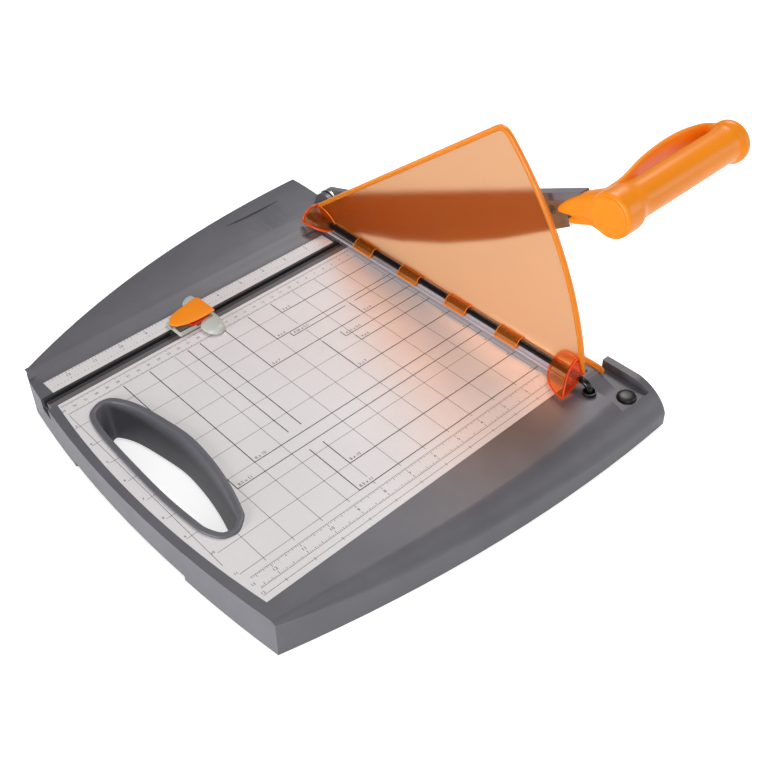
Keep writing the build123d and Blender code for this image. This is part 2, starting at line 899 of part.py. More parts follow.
def make_arm_hub():
    """The moulded hub on the pivot, its nose reaching to the start of the beam."""
    hub = bar_x(hub_radius, hub_face, hub_outer, pivot_y, pivot_z)
    tip = arm_y(beam_start - seat_gap)
    hub += plate_x(
        ((pivot_y, arm_z(hub_radius)), (tip, arm_z(beam_top)), (tip, arm_z(-beam_drop_back)),
         (pivot_y, arm_z(-hub_radius))),
        hub_face, hub_outer)
    bore = pivot_radius + pivot_fit + bush_wall + screw_fit
    return arm_place(hub - bar_x(bore, 0, hub_outer + overrun, pivot_y, pivot_z))


def make_pivot_bush():
    outer = pivot_radius + pivot_fit + bush_wall
    bush = bar_x(outer, 0, hub_outer, pivot_y, pivot_z)
    return bush - bar_x(pivot_radius + pivot_fit, -overrun, hub_outer + overrun, pivot_y, pivot_z)


def make_blade_screws():
    places = zip(blade_screw_along, blade_screw_drop)
    screws = [screw(0, arm_y(along), arm_z(-drop), 1, beam_plate + blade_thickness) for along, drop in places]
    return arm_place(Compound(screws))


def finger_loop():
    """A strap bowed away from the grip, from the socket out to the far flange."""
    far = grip_end - flange_width / 2
    outline = []
    for side in (loop_thickness / 2, -loop_thickness / 2):
        shares = zip(loop_along_shares, loop_rise_shares)
        outline.append([Vector(far * x, loop_offset * y + side, -loop_half_width) for x, y in shares])
    outer, inner = outline
    edges = [
        Edge.make_spline(outer),
        Edge.make_line(outer[-1], inner[-1]),
        Edge.make_spline(list(reversed(inner))),
        Edge.make_line(inner[0], outer[0]),
    ]
    strap = extrude(outline_face(edges), amount=2 * loop_half_width, dir=(0, 0, 1))
    curves = strap.edges().filter_by(GeomType.BSPLINE)
    strap = fillet(curves, loop_round)
    return Pos(0, arm_y(grip_along), arm_z(-grip_drop)) * Rot(loop_tilt_deg, 0, 0) * strap


def rounded_bar(radius, x0, x1, y, z):
    """A bar along x with rounded ends."""
    bar = bar_x(radius, x0, x1, y, z)
    return fillet(bar.edges().filter_by(GeomType.CIRCLE), handle_round)


def make_handle_body():
    y = arm_y(grip_along)
    z = arm_z(-grip_drop)
    outline = (
        (arm_y(nose_start), arm_z(nose_half_height - nose_drop)),
        (arm_y(brow_along), arm_z(brow_rise)),
        (y, z + knob_radius),
        (y, z - knob_radius),
        (arm_y(throat_along), arm_z(-throat_drop)),
        (arm_y(chin_along), arm_z(-chin_drop)),
        (arm_y(nose_start), arm_z(-nose_half_height - nose_drop)),
    )
    socket = plate_x(outline, -nose_left, nose_right)
    body = socket + rounded_bar(knob_radius, -knob_left, knob_right, y, z)
    body += bar_x(grip_radius, 0, grip_end - flange_width / 2, y, z)
    body += rounded_bar(flange_radius, grip_end - flange_width, grip_end, y, z)
    body += finger_loop()
    body -= beam_solid(slack)
    body -= block(-slack, hub_face, arm_y(blade_end + seat_gap), arm_y(nose_start - overrun),
                  arm_z(-knob_radius), arm_z(beam_top))
    body -= bar_x(cap_radius + slack, -knob_left - overrun, -knob_left + cap_depth, y, z)
    for along, drop in zip(handle_screw_along, handle_screw_drop):
        body -= screw_hole(nose_right, arm_y(along), arm_z(-drop), -1, screw_length)
    return arm_place(body)


def make_handle_end_cap():
    y = arm_y(grip_along)
    z = arm_z(-grip_drop)
    cap = bar_x(cap_radius, -knob_left - cap_proud, -knob_left + cap_depth, y, z)
    rim = cap.edges().filter_by(GeomType.CIRCLE).group_by(Axis.X)[0]
    return arm_place(fillet(rim, cap_proud))


def make_handle_screws():
    depth = nose_right - hub_face
    places = zip(handle_screw_along, handle_screw_drop)
    screws = [screw(nose_right, arm_y(along), arm_z(-drop), -1, depth) for along, drop in places]
    return arm_place(Compound(screws))


def guard_face(x):
    """The guard's outline: a straight top edge, a rounded peak and a bowed front edge."""
    back_low = Vector(x, guard_back_y, deck + guard_back_low)
    back_high = Vector(x, guard_back_y, deck + guard_back_high)
    peak = Vector(x, -guard_peak_y, deck + guard_peak_rise)
    middle = Vector(x, -guard_front_middle_y, deck + guard_front_middle_rise)
    front = Vector(x, -guard_front_y, deck + guard_front_low)
    face = outline_face(
        [
            Edge.make_line(back_low, back_high),
            Edge.make_line(back_high, peak),
            Edge.make_three_point_arc(peak, middle, front),
            Edge.make_line(front, back_low),
        ]
    )
    corner = face.vertices().sort_by_distance(peak)[0]
    return face.fillet_2d(guard_peak_radius, [corner])


def make_guard_shield():
    """A thin upright sheet with a thicker rim and knuckles that wrap the rod."""
    sheet_x = -guard_x - guard_sheet / 2
    shield = extrude(guard_face(sheet_x), amount=guard_sheet, dir=(1, 0, 0))
    rim_face = guard_face(guard_left)
    rim = extrude(rim_face, amount=guard_rim, dir=(1, 0, 0))
    opening = offset(rim_face, -guard_rim_width, kind=Kind.INTERSECTION)
    shield += rim - extrude(opening, amount=guard_rim, dir=(1, 0, 0))
    low = rod_z - knuckle_radius
    for i in range(knuckle_count):
        front = -knuckle_first - knuckle_length - i * knuckle_pitch
        back = front + knuckle_length
        shield += bar_y(knuckle_radius, front, back, -rod_x, rod_z)
        shield += block(-rod_x, guard_right, front, back, low, deck + guard_front_low + guard_rim_width)
        shield -= bar_y(rod_radius + rod_fit, front - overrun, back + overrun, -rod_x, rod_z)
    return shield


def ear_wire(y, reach, rise, low, inset):
    """One section of an ear: upright along the guard, level at the foot, bowed between."""
    root = Vector(guard_left - inset, y, low + inset)
    top = Vector(guard_left - inset, y, low + rise - inset)
    foot = Vector(guard_left - reach + inset, y, low + inset)
    out = Vector(-(top - foot).Z, 0, (top - foot).X).normalized()
    middle = (top + foot) / 2 + out * ear_bulge
    return Wire(
        [
            Edge.make_line(root, top),
            Edge.make_three_point_arc(top, middle, foot),
            Edge.make_line(foot, root),
        ]
    )


def ear(tip_y, end_y, reach, rise, lift):
    """A hollow ear, open at its wide end, that tapers along the rod to a small tip."""
    toward = math.copysign(1, end_y - tip_y)
    small = ear_tip_share
    outer = [
        ear_wire(tip_y, reach * small, rise * small, strip_top, 0),
        ear_wire(end_y, reach, rise, strip_top + lift, 0),
    ]
    floor_y = tip_y + toward * ear_shell
    inner = [
        ear_wire(floor_y, reach * small, rise * small, strip_top, ear_shell),
        ear_wire(end_y + toward * ear_shell, reach, rise, strip_top + lift, ear_shell),
    ]
    body = Part() + Solid.make_loft(outer, ruled=True)
    body -= Solid.make_loft(inner, ruled=True)
    ends = sorted((tip_y, end_y))
    return body - bar_y(rod_radius + rod_fit, ends[0] - overrun, ends[1] + overrun, -rod_x, rod_z)


def make_guard_front_bracket():
    """The front ear with a low crossbar past the blade's end and a fin on its far side."""
    body = ear(-front_ear_tip, -front_ear_end, front_ear_reach, front_ear_rise, 0)
    low = deck + crossbar_low
    back = -front_ear_end + crossbar_depth
    body += block(guard_left - front_ear_reach / 2, fin_x, -front_ear_end, back, low, low + crossbar_height)
    body += block(guard_left - ear_shell, guard_left, -front_ear_end, back, low, strip_top + ear_shell)
    top = deck + fin_top
    tail_top = top - fin_tail_drop
    fin = (
        (-front_ear_end, top),
        (-fin_flat_end, top),
        (-fin_tail_y, tail_top),
        (-fin_tail_y, tail_top - fin_height / 2),
        (-fin_flat_end, top - fin_height),
        (-front_ear_end, top - fin_height),
    )
    return body + plate_x(fin, fin_x - fin_thickness, fin_x)


def make_guard_back_bracket():
    return ear(-back_ear_tip, back_ear_end, back_ear_reach, back_ear_rise, back_ear_lift)


def make_guard_rod():
    """A round rod bent down at both ends."""
    low = deck - rod_leg_drop
    points = [(-rod_x, -rod_front, low), (-rod_x, -rod_front, rod_z),
              (-rod_x, rod_back, rod_z), (-rod_x, rod_back, low)]
    path = FilletPolyline(*points, radius=rod_bend)
    section = Plane(origin=points[0], z_dir=(0, 0, 1)) * Circle(rod_radius)
    return sweep(section, path=path)


def make_rod_collars():
    rings = []
    top = deck - grommet_sleeve - slack
    for x, y in leg_places():
        ring = bar_z(collar_radius, top - collar_height, top, x, y)
        rings.append(ring - bar_z(rod_radius + rod_fit, top - overrun, top + overrun, x, y))
    return Compound(rings)


def make_hold_down_strip():
    strip = block(-strip_left, -strip_right, -strip_front, -strip_back, strip_low, strip_top)
    edge = strip.edges().filter_by(Axis.Y).group_by(Axis.X)[0].sort_by(Axis.Z)[-1]
    return chamfer(edge, strip_bevel)


def lobe(x, y, half, reach, z0, z1):
    """A rounded tab that stands out from the line y, towards the side of reach."""
    tab = Pos(x, y, z0) * extrude(Ellipse(half, abs(reach)), amount=z1 - z0)
    side = sorted((y, y + reach + math.copysign(overrun, reach)))
    return tab & block(x - half, x + half, side[0], side[1], z0, z1)


def cartridge_box(gap, z0, z1):
    """The room of the blade cartridge, grown by gap."""
    return block(-carriage_x - cartridge_left - gap, -carriage_x + cartridge_right + gap,
                 wheel_y - cartridge_margin - gap, -cartridge_back + gap, z0, z1)


def window_box(gap, z0, z1):
    """The room of the sight window, drawn in by gap."""
    x = -carriage_x - window_along
    front = -carriage_front + window_front_margin
    return block(x - window_half_length + gap, x + window_half_length - gap, front + gap,
                 front + window_width - gap, z0, z1)


def make_carriage_body():
    left = -carriage_x - carriage_half_length
    right = -carriage_x + carriage_half_length
    plate = block(left, right, -carriage_front, -carriage_back, carriage_low, plate_top)
    front_x = -carriage_x + wing_front_along
    back_x = -carriage_x + wing_back_along
    plate += lobe(front_x, -carriage_front, wing_front_half, -wing_front_reach, carriage_low, plate_top)
    plate += lobe(back_x, -carriage_back, wing_back_half, wing_back_reach, carriage_low, plate_top)
    x, z = pin_place
    plate += block(x - lug_half_length, x + lug_half_length, -lever_y - lug_half_width,
                   -lever_y + lug_half_width, plate_top, z + lug_over_pin)
    plate -= bar_y(pin_radius + pin_fit, -lever_y - overrun, -lever_y + overrun, x, z)
    plate -= cartridge_box(cartridge_gap, carriage_low - overrun, plate_top + overrun)
    return plate - window_box(0, carriage_low - overrun, plate_top + overrun)


def make_carriage_runners():
    feet = []
    half = rail_slot_width / 2 - runner_fit
    tee = rail_tee_width / 2 - runner_fit
    tee_top = deck - rail_lip - runner_fit
    tee_low = deck - rail_lip - rail_tee_height + runner_fit
    end = carriage_half_length - runner_length
    for x in (-carriage_x - carriage_half_length, -carriage_x + end):
        foot = block(x, x + runner_length, slot_y - half, slot_y + half, tee_top, carriage_low)
        feet.append(foot + block(x, x + runner_length, slot_y - tee, slot_y + tee, tee_low, tee_top))
    return Compound(feet)


def make_sight_window():
    return window_box(screw_fit, carriage_low, carriage_low + window_pane)


def make_lever_pin():
    x, z = pin_place
    return bar_y(pin_radius, -lever_y - pin_half_length, -lever_y + pin_half_length, x, z)


def make_lever_spring():
    x = -carriage_x - lever_spring_along
    top = lever_bottom
    return coil(lever_spring_radius, lever_spring_wire, lever_spring_turns, plate_top, top, x, -lever_y)


def make_press_lever():
    """A teardrop paddle: a round nose over the pin, straight sides widening to a square heel."""
    nose = -carriage_x - lever_left + lever_nose_radius
    heel = -carriage_x + lever_right
    tilt = math.asin((lever_half_width - lever_nose_radius) / (heel - nose))
    back = Vector(nose - lever_nose_radius * math.sin(tilt), -lever_y + lever_nose_radius * math.cos(tilt), 0)
    front = Vector(back.X, -lever_y - lever_nose_radius * math.cos(tilt), 0)
    heel_front = Vector(heel, -lever_y - lever_half_width, 0)
    heel_back = Vector(heel, -lever_y + lever_half_width, 0)
    edges = [
        Edge.make_three_point_arc(back, Vector(nose - lever_nose_radius, -lever_y, 0), front),
        Edge.make_line(front, heel_front),
        Edge.make_line(heel_front, heel_back),
        Edge.make_line(heel_back, back),
    ]
    lever = Pos(0, 0, lever_bottom) * extrude(outline_face(edges), amount=lever_thickness, dir=(0, 0, 1))
    lever = fillet(lever.faces().sort_by(Axis.Z)[-1].edges(), lever_round)
    x, z = pin_place
    room = lug_half_length + seat_gap
    side = lug_half_width + seat_gap
    lever -= block(x - room, x + room, -lever_y - side, -lever_y + side, lever_bottom - overrun,
                   z + lug_over_pin + seat_gap)
    reach = pin_half_length + slack
    lever -= bar_y(pin_radius + pin_fit, -lever_y - reach, -lever_y + reach, x, z)
    return lever - wheel_room()


def wheel_room():
    """The slot that the cutter wheel turns in."""
    x, z = wheel_place
    half = wheel_thickness / 2 + wheel_gap
    return bar_y(wheel_radius + wheel_gap, wheel_y - half, wheel_y + half, x, z)


def make_blade_cartridge():
    x, z = wheel_place
    box = cartridge_box(0, deck + cartridge_low, lever_bottom) - wheel_room()
    reach = axle_half_length + pin_fit
    return box - bar_y(axle_radius + pin_fit, wheel_y - reach, wheel_y + reach, x, z)


def make_cutter_wheel():
    x, z = wheel_place
    half = wheel_thickness / 2
    wheel = bar_y(wheel_radius, wheel_y - half, wheel_y + half, x, z)
    return wheel - bar_y(axle_radius + pin_fit, wheel_y - overrun, wheel_y + overrun, x, z)


def make_wheel_axle():
    x, z = wheel_place
    return bar_y(axle_radius, wheel_y - axle_half_length, wheel_y + axle_half_length, x, z)


def make_nodes():
    """Every piece by its name, in the layout frame."""
    front_leg, back_leg = leg_places()
    moulding = make_base_moulding()
    return {
        "base_shell": make_base_shell(moulding),
        "back_band": make_back_band(moulding),
        "mat_panel": make_mat_panel(),
        "ruler_strip": make_ruler_strip(),
        "cutter_rail": make_cutter_rail(),
        "cutting_strip": make_cutting_strip(),
        "hand_slot_rim": make_hand_slot_rim(),
        "bed_blade": make_bed_blade(),
        "bed_screws": make_bed_screws(),
        "pivot_bracket": make_pivot_bracket(),
        "bracket_screws": make_bracket_screws(),
        "pivot_bolt": make_pivot_bolt(),
        "pivot_nut": make_pivot_nut(),
        "pivot_washers": make_pivot_washers(),
        "bumper": make_bumper(),
        "feet": make_feet(),
        "rod_grommets": make_rod_grommets(),
        "clamp_spring_front": make_clamp_spring(front_leg),
        "clamp_spring_back": make_clamp_spring(back_leg),
        "arm_blade": make_arm_blade(),
        "arm_beam": make_arm_beam(),
        "arm_hub": make_arm_hub(),
        "pivot_bush": make_pivot_bush(),
        "blade_screws": make_blade_screws(),
        "handle_body": make_handle_body(),
        "handle_end_cap": make_handle_end_cap(),
        "handle_screws": make_handle_screws(),
        "guard_shield": make_guard_shield(),
        "guard_front_bracket": make_guard_front_bracket(),
        "guard_back_bracket": make_guard_back_bracket(),
        "guard_rod": make_guard_rod(),
        "rod_collars": make_rod_collars(),
        "hold_down_strip": make_hold_down_strip(),
        "carriage_body": make_carriage_body(),
        "carriage_runners": make_carriage_runners(),
        "sight_window": make_sight_window(),
        "lever_pin": make_lever_pin(),
        "lever_spring": make_lever_spring(),
        "press_lever": make_press_lever(),
        "blade_cartridge": make_blade_cartridge(),
        "cutter_wheel": make_cutter_wheel(),
        "wheel_axle": make_wheel_axle(),
    }


def main():
    nodes = make_nodes()
    box = Compound([Compound(shape.solids()) for shape in nodes.values()]).bounding_box()
    middle = box.center()
    shift = Pos(-middle.X, -middle.Y, -box.min.Z)
    print("cut line, fence and table lie at", -middle.X, -middle.Y, -box.min.Z)
    os.makedirs("parts", exist_ok=True)
    for name, shape in nodes.items():
        export_step(shift * shape, f"parts/{name}.step")


if __name__ == "__main__":
    main()
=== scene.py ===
"""Looks of the desk paper trimmer: its finishes, the printed mat, and the smooth moulded pieces.

Lengths are in millimetres from three planes of the trimmer, turned to metres where a mesh is made:
x from the lever's cut line (the mat lies towards -x), y from the paper fence (the front lies
towards -y) and z from the mat's top face.
"""
import json
import math

import bpy
import numpy as np
from mathutils import Matrix, Vector

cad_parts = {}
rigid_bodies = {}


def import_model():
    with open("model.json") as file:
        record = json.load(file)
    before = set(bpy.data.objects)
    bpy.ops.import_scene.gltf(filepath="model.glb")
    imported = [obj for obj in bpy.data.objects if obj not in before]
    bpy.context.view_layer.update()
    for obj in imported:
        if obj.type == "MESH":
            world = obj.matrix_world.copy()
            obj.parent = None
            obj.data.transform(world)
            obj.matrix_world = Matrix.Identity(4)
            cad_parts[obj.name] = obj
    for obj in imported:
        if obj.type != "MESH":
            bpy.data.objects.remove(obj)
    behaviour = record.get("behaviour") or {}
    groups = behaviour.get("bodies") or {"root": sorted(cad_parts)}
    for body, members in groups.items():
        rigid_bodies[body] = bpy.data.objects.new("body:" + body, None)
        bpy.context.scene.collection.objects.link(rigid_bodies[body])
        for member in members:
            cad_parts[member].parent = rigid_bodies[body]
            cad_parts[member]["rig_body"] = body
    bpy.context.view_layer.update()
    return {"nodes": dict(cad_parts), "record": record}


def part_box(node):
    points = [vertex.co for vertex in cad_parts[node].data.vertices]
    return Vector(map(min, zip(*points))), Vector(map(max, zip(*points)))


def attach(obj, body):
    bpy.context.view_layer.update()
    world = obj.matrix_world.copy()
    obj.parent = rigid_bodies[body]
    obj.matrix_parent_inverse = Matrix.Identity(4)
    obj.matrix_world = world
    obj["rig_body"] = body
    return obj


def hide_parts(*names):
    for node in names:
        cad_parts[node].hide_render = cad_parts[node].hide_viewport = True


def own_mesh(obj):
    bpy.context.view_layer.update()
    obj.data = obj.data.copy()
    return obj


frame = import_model()

MM = 0.001
INCH = 25.4
LEDGE = 10.0
CUT_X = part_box("arm_blade")[0].x
FENCE_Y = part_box("ruler_strip")[1].y + LEDGE * MM
DECK_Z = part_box("mat_panel")[1].z
HOME = np.array((CUT_X, FENCE_Y, DECK_Z))
SLOT_OF = {entry["node"]: entry["material_slot"] for entry in frame["record"]["subparts"]}

# Camera, solved from the printed grid
CAMERA_PLACE = (-539.5, -686.4, 579.7)
CAMERA_RIGHT = (0.73725, -0.67487, -0.03200)
CAMERA_UP = (0.4736, 0.4825, 0.7369)
CAMERA_FOV_DEG = 39.737

# Lamps (name, place, aim, size, watts), the floor's half width and glow, and the light from all round
LAMPS = (
    ("key", (730, 325, 1160), (-120, -180, 0), 500, 11.5),
    ("top", (-450, -100, 1300), (-100, -200, 50), 700, 2.2),
    ("left", (-1500, -300, 200), (-200, -180, 0), 400, 14),
    ("front", (-600, -1500, 1100), (-100, -250, 50), 900, 8.5),
    ("right", (900, -1300, 500), (70, -330, 150), 600, 5),
)
FLOOR_HALF = 6000.0
FLOOR_GLOW = 0.6
WORLD_LIGHT = 0.16

# Lever arm: how far it is raised, and its pivot (y, z)
ARM_RAISE = math.radians(24.5)
PIVOT = (8.0, 14.0)

# Handle: the grip's axis on the arm, and its profile (x, radius)
GRIP_ALONG = 358.0
GRIP_HEIGHT = -5.5
GRIP_PROFILE = (
    (-8.6, 0.1), (-8.6, 15.5), (-8.2, 16.9), (-7.0, 17.7), (-5.0, 18.0), (8.0, 18.0), (11.0, 17.3),
    (14.0, 15.6), (17.0, 14.6), (21.0, 14.3), (70.0, 14.5), (126.0, 14.5), (129.5, 14.8), (131.5, 15.9),
    (133.0, 17.0), (135.0, 17.6), (138.0, 17.5), (139.8, 16.6), (140.7, 14.8), (141.0, 12.0), (141.0, 0.1),
)

# Strap beside the grip: tilt, half thickness and width, path (x, offset), and taper (start, end, share lost)
LOOP_TILT = math.radians(22.0)
LOOP_HALF = (2.5, 12.5)
LOOP_PATH = ((1.0, 13.2), (24.2, 14.6), (59.7, 22.5), (95.7, 25.6), (127.1, 21.7), (139.5, 14.5))
LOOP_TAPER = (100.0, 139.5, 0.2)

# Nose and lip of the handle: sections (along the arm, top, bottom, left, right)
NOSE_SECTIONS = (
    (304.2, -2.4, -3.8, -2.0, 5.0), (306.0, 0.2, -4.6, -4.0, 6.6), (312.0, 3.8, -6.4, -5.0, 7.6),
    (321.0, 7.2, -8.6, -5.4, 8.2), (331.0, 9.4, -8.8, -6.4, 8.8), (338.0, 10.2, -10.0, -8.0, 10.0),
    (346.0, 10.6, -17.0, -8.6, 12.0), (356.0, 10.6, -21.0, -8.6, 13.4),
)
LIP_SECTIONS = (
    (311.8, -9.6, -12.6, -1.8, 7.6), (314.0, -8.8, -14.2, -3.2, 9.0), (322.0, -8.6, -15.2, -3.4, 9.6),
    (333.0, -8.4, -15.8, -3.8, 10.0), (339.0, -8.0, -18.6, -4.8, 11.0), (344.0, -7.0, -21.2, -6.0, 12.0),
    (351.0, -6.0, -21.2, -7.2, 12.8),
)

# Press lever, seen from above: outline, spine, and levels (share of the way out, height)
LEVER_OUTLINE = (
    (-210.1, -26.1), (-212.5, -30.4), (-212.6, -33.9), (-209.6, -37.6), (-203.5, -40.6), (-196.5, -42.2),
    (-187.8, -43.2), (-177.0, -42.9), (-173.6, -41.4), (-173.5, -29.3), (-173.6, -18.9), (-174.9, -16.9),
    (-177.9, -16.3), (-190.3, -18.5), (-198.9, -20.2), (-205.0, -22.4),
)
LEVER_SPINE = ((-204.0, -31.5), (-181.0, -30.8))
LEVER_LEVELS = (
    (0.02, 10.9), (0.6, 10.85), (0.9, 10.65), (0.97, 10.4), (1.0, 10.1), (1.0, 9.8), (0.97, 9.3),
    (0.85, 8.7), (0.6, 8.3), (0.02, 8.1),
)

# Wings of the carriage: outlines; name, outline, spine, top and foot; fall from the top, rise from the foot
FRONT_WING = (
    (-192.0, -47.4), (-190.1, -43.0), (-182.4, -36.4), (-176.0, -35.4), (-172.2, -37.0), (-172.2, -46.0),
    (-175.1, -58.4), (-177.7, -61.4), (-181.3, -62.9), (-186.2, -61.6), (-190.8, -56.1),
)
BACK_WING = (
    (-187.2, -12.2), (-184.2, -7.3), (-179.2, -3.9), (-175.4, -2.7), (-172.9, -3.4), (-171.9, -7.4),
    (-171.7, -12.0), (-173.6, -17.4), (-185.8, -17.4),
)
WINGS = (
    ("carriage_wing_front", FRONT_WING, ((-180.6, -42.0), (-181.6, -57.0)), 6.2, 0.8),
    ("carriage_wing_back", BACK_WING, ((-178.0, -14.0), (-177.0, -9.0)), 6.0, 2.5),
)
WING_FALL = ((0.02, 0.0), (0.35, 0.2), (0.65, 0.8), (0.85, 1.6), (0.95, 2.4))
WING_RISE = ((1.0, 1.2), (1.0, 0.6), (0.97, 0.0), (0.02, 0.0))

# Its plate, the plate's opening and the window frame: boxes (x, x, y, y, corner radius), heights of the
# plate's rings, chamfer, and the frame's profile (inset, height)
PLATE_BOX = (-210.8, -171.6, -42.3, -18.6, 2.0)
PLATE_GAP = (-198.6, -178.4, -41.8, -20.4, 0.6)
PLATE_LEVELS = (2.2, 2.6, 2.6, 0.7, 0.7, 1.0)
PLATE_CHAMFER = 0.4
WINDOW_BOX = (-210.8, -192.2, -42.1, -29.6, 1.6)
WINDOW_PROFILE = ((0.0, 2.0), (0.5, 4.0), (0.9, 4.5), (1.6, 4.5), (2.0, 4.1), (2.2, 2.0))

# Pads on rounded boxes: name, replaced node, box (x, x, y, y), corner radius, spine, levels, finish, body
# and, where it isn't the finish's own, slot
BOX_PADS = (
    ("press_lever_stem", None, (-197.0, -180.0, -34.6, -24.0), 1.5, ((-193.0, -29.3), (-184.0, -29.3)),
     ((0.02, 8.6), (1.0, 8.6), (1.0, 6.9), (0.95, 6.4), (0.02, 6.4)),
     "handle_orange", "cutter"),
    # A black pad under the window pane: painted shade, showing as a dark line along the pane's front edge
    ("carriage_window_slot", None, (-209.2, -193.8, -40.6, -31.0), 0.5, ((-206.0, -35.8), (-197.0, -35.8)),
     ((0.02, 2.75), (0.98, 2.75), (1.0, 2.7), (1.0, 2.4), (0.02, 2.4)),
     "rail_black", "carriage"),
    ("carriage_window_pane", "sight_window", (-208.6, -194.2, -38.0, -31.2), 0.8,
     ((-207.0, -34.4), (-198.0, -34.4)),
     ((0.02, 3.9), (0.8, 3.8), (0.95, 3.6), (1.0, 3.2), (1.0, 2.5), (0.02, 2.5)),
     "carriage_pane", "carriage", "carriage_green"),
    ("pocket_sill", None, (3.4, 9.8, -312.4, -302.0), 1.4, ((6.6, -309.6), (6.6, -304.4)),
     ((0.02, -0.4), (0.9, -0.45), (0.97, -0.7), (1.0, -1.4), (1.0, -8.2), (0.02, -8.2)),
     "base_grey", "base"),
    ("rail_front_lip", None, (-334.0, -20.0, -36.9, -33.4), 0.5, ((-332.0, -35.15), (-22.0, -35.15)),
     ((0.02, 0.16), (0.97, 0.16), (1.0, 0.08), (1.0, -0.3), (0.02, -0.3)),
     "rail_black", "base"),
)

# Guard: its middle plane, and the sheet's half thickness, inset and foot (y, z)
GUARD_X = -12.0
SHEET_HALF = 1.3
SHEET_INSET = 2.2
SHEET_FOOT = ((-316.9, 10.1), (7.5, 10.1))

# Its edge: four places (y, z), and the length cut off each run at the peak
GUARD_BACK = (10.0, 20.5)
GUARD_PEAK = (-222.0, 196.0)
GUARD_BOW = (-288.0, 108.0)
GUARD_FRONT = (-319.5, 10.5)
PEAK_CUT = 10.0

# Its rim's half thickness and half depth, and the bead along its foot, painted as a glowing line (x, z,
# both ends along y, radius)
RIM_HALF = (2.0, 2.3)
FOOT_BEAD = (-13.2, 10.7, -316.0, -14.0, 0.75)

# Knuckles: the rod's axis (x, z), bore, reach, and tab and toe (angle, reach, spread)
ROD = (-17.3, 9.0)
KNUCKLE_BORE = 2.85
KNUCKLE_REACH = 3.4
KNUCKLE_TAB = (0.32, 3.4, 0.42)
KNUCKLE_TOE = (3.5, 3.2, 0.4)

# Their row (first place, pitch, number, length), and the rounding of both ends (inset, share of the reach)
KNUCKLE_ROW = (-52.4, 59.7, 4, 25.0)
KNUCKLE_ENDS = ((0.6, 0.94), (0.15, 1.0))

# Painted glowing lines on them: inset, radius of the rings, and radius and turn of the bar along the toe
LINE_INSET = 0.7
RING_LINE = 0.4
TOE_LINE = 0.9
TOE_BAR_TURN = 3.6

# Guard ears: root plane, wall, last angle, and steps along an edge
EAR_X = -12.2
EAR_WALL = 1.6
EAR_STOP = 0.985 * math.pi / 2
EAR_STEPS = 40

# Their shapes: wide end y, way to the tip, reach, depth, rise, foot height, lean of the wide end, and lift of
# the foot at the wide end and at the tip; then name, node, shape and edge radius
FRONT_EAR = (-320.8, 1, 28.0, 30.0, 22.5, 3.1, 8.0, 0.0, 5.0)
BACK_EAR = (9.0, -1, 21.0, 26.5, 16.5, 4.0, 0.0, 5.2, 0.0)
EARS = (
    ("guard_ear_front", "guard_front_bracket", FRONT_EAR, 0.65),
    ("guard_ear_back", "guard_back_bracket", BACK_EAR, 1.15),
)

# The front ear's web (lower line, its radius; the line is a bead painted as glowing), and the back ear's
# seam, a bead painted as a glowing line where the ear meets the sheet (inset, shift along x, radius)
EAR_CHORD = (
    (-37.6, -320.8, 3.3), (-31.0, -320.7, 4.6), (-24.0, -320.4, 6.6), (-17.5, -319.9, 9.2),
    (-12.6, -319.2, 12.0),
)
CHORD_RADIUS = 0.8
SEAM = (0.4, -1.6, 0.6)

# The fin past the blade (place, half thickness, sections as y, top and bottom), and the link to it
FIN_X = 11.8
FIN_HALF = 1.2
FIN_SECTIONS = (
    (-270.6, -8.8, -12.2), (-283.0, -2.9, -9.6), (-294.0, 2.8, -7.0), (-304.0, 3.6, -5.6),
    (-315.0, 3.6, -5.3), (-318.6, 3.0, -4.6), (-320.2, 1.4, -3.0), (-320.8, -0.2, -1.2),
)
LINK_ENDS = ((-31.0, -319.6, 4.5), (11.8, -318.4, 1.25))
LINK_RADIUS = 0.6

# Painted highlights on the hold-down strip, pale bars where its polished bevels catch the light: name and
# both sides from the strip's left edge, levels (share, height over the strip's top), and how far they stop
# short of its ends
STRIP_HIGHLIGHTS = (("hold_down_bevel_highlight", 1.6, 4.4), ("hold_down_line_highlight", 6.4, 7.0))
HIGHLIGHT_LEVELS = ((0.02, 0.12), (0.9, 0.12), (1.0, 0.0), (1.0, -0.3), (0.02, -0.3))
HIGHLIGHT_SHORT = 2.0

# Coil springs: name, node, body that they stand on, joint that shortens them, place, radius, wire radius,
# turns, foot, top, and the share of the height that is left at the joint's limit
COILS = (
    ("clamp_coil_front", "clamp_spring_front", "base", "clamp_press", (-17.3, -329.5), 3.7, 0.4, 6,
     -27.8, -7.8, 0.88),
    ("clamp_coil_back", "clamp_spring_back", "base", "clamp_press", (-17.3, 14.0), 3.7, 0.4, 6,
     -27.8, -7.8, 0.88),
    ("lever_coil", "lever_spring", "carriage", "lever_press", (-201.5, -29.5), 1.35, 0.25, 3,
     2.6, 7.9, 0.85),
)

# Fence cove: profile (y, height), ends along x, and the length over which it fades there
COVE_PROFILE = (
    (-9.9, 0.03), (-7.0, 0.45), (-4.0, 1.25), (-1.0, 2.3), (2.0, 3.5), (4.0, 4.25), (6.0, 4.9), (8.0, 5.3),
    (10.0, 5.62),
)
COVE_ENDS = (-330.0, -35.0)
COVE_FADE = 9.0

# The band's step and top under it (height at the fence, slope), how far it sinks in, and its thickness
BAND_STEP = (1.8, 0.5)
BAND_TOP = (3.66, 0.19)
COVE_SINK = 0.15
COVE_THICK = 0.3

# Pocket: the ramp from the deck down to its floor, and the ramp's underside
RAMP_SIDES = (-10.9, 9.9)
RAMP_RUN = (-311.2, -337.2)
RAMP_LEVELS = (-0.4, -7.95)
RAMP_UNDER = -8.3

# Rubber stop: its width as a share of the solid's, and its dome (share of the radius, fall from the top)
BUMPER_WIDTH = 1.08
BUMPER_DOME = ((1.0, 3.4), (0.97, 2.2), (0.88, 1.2), (0.7, 0.45), (0.45, 0.1), (0.02, 0.0))

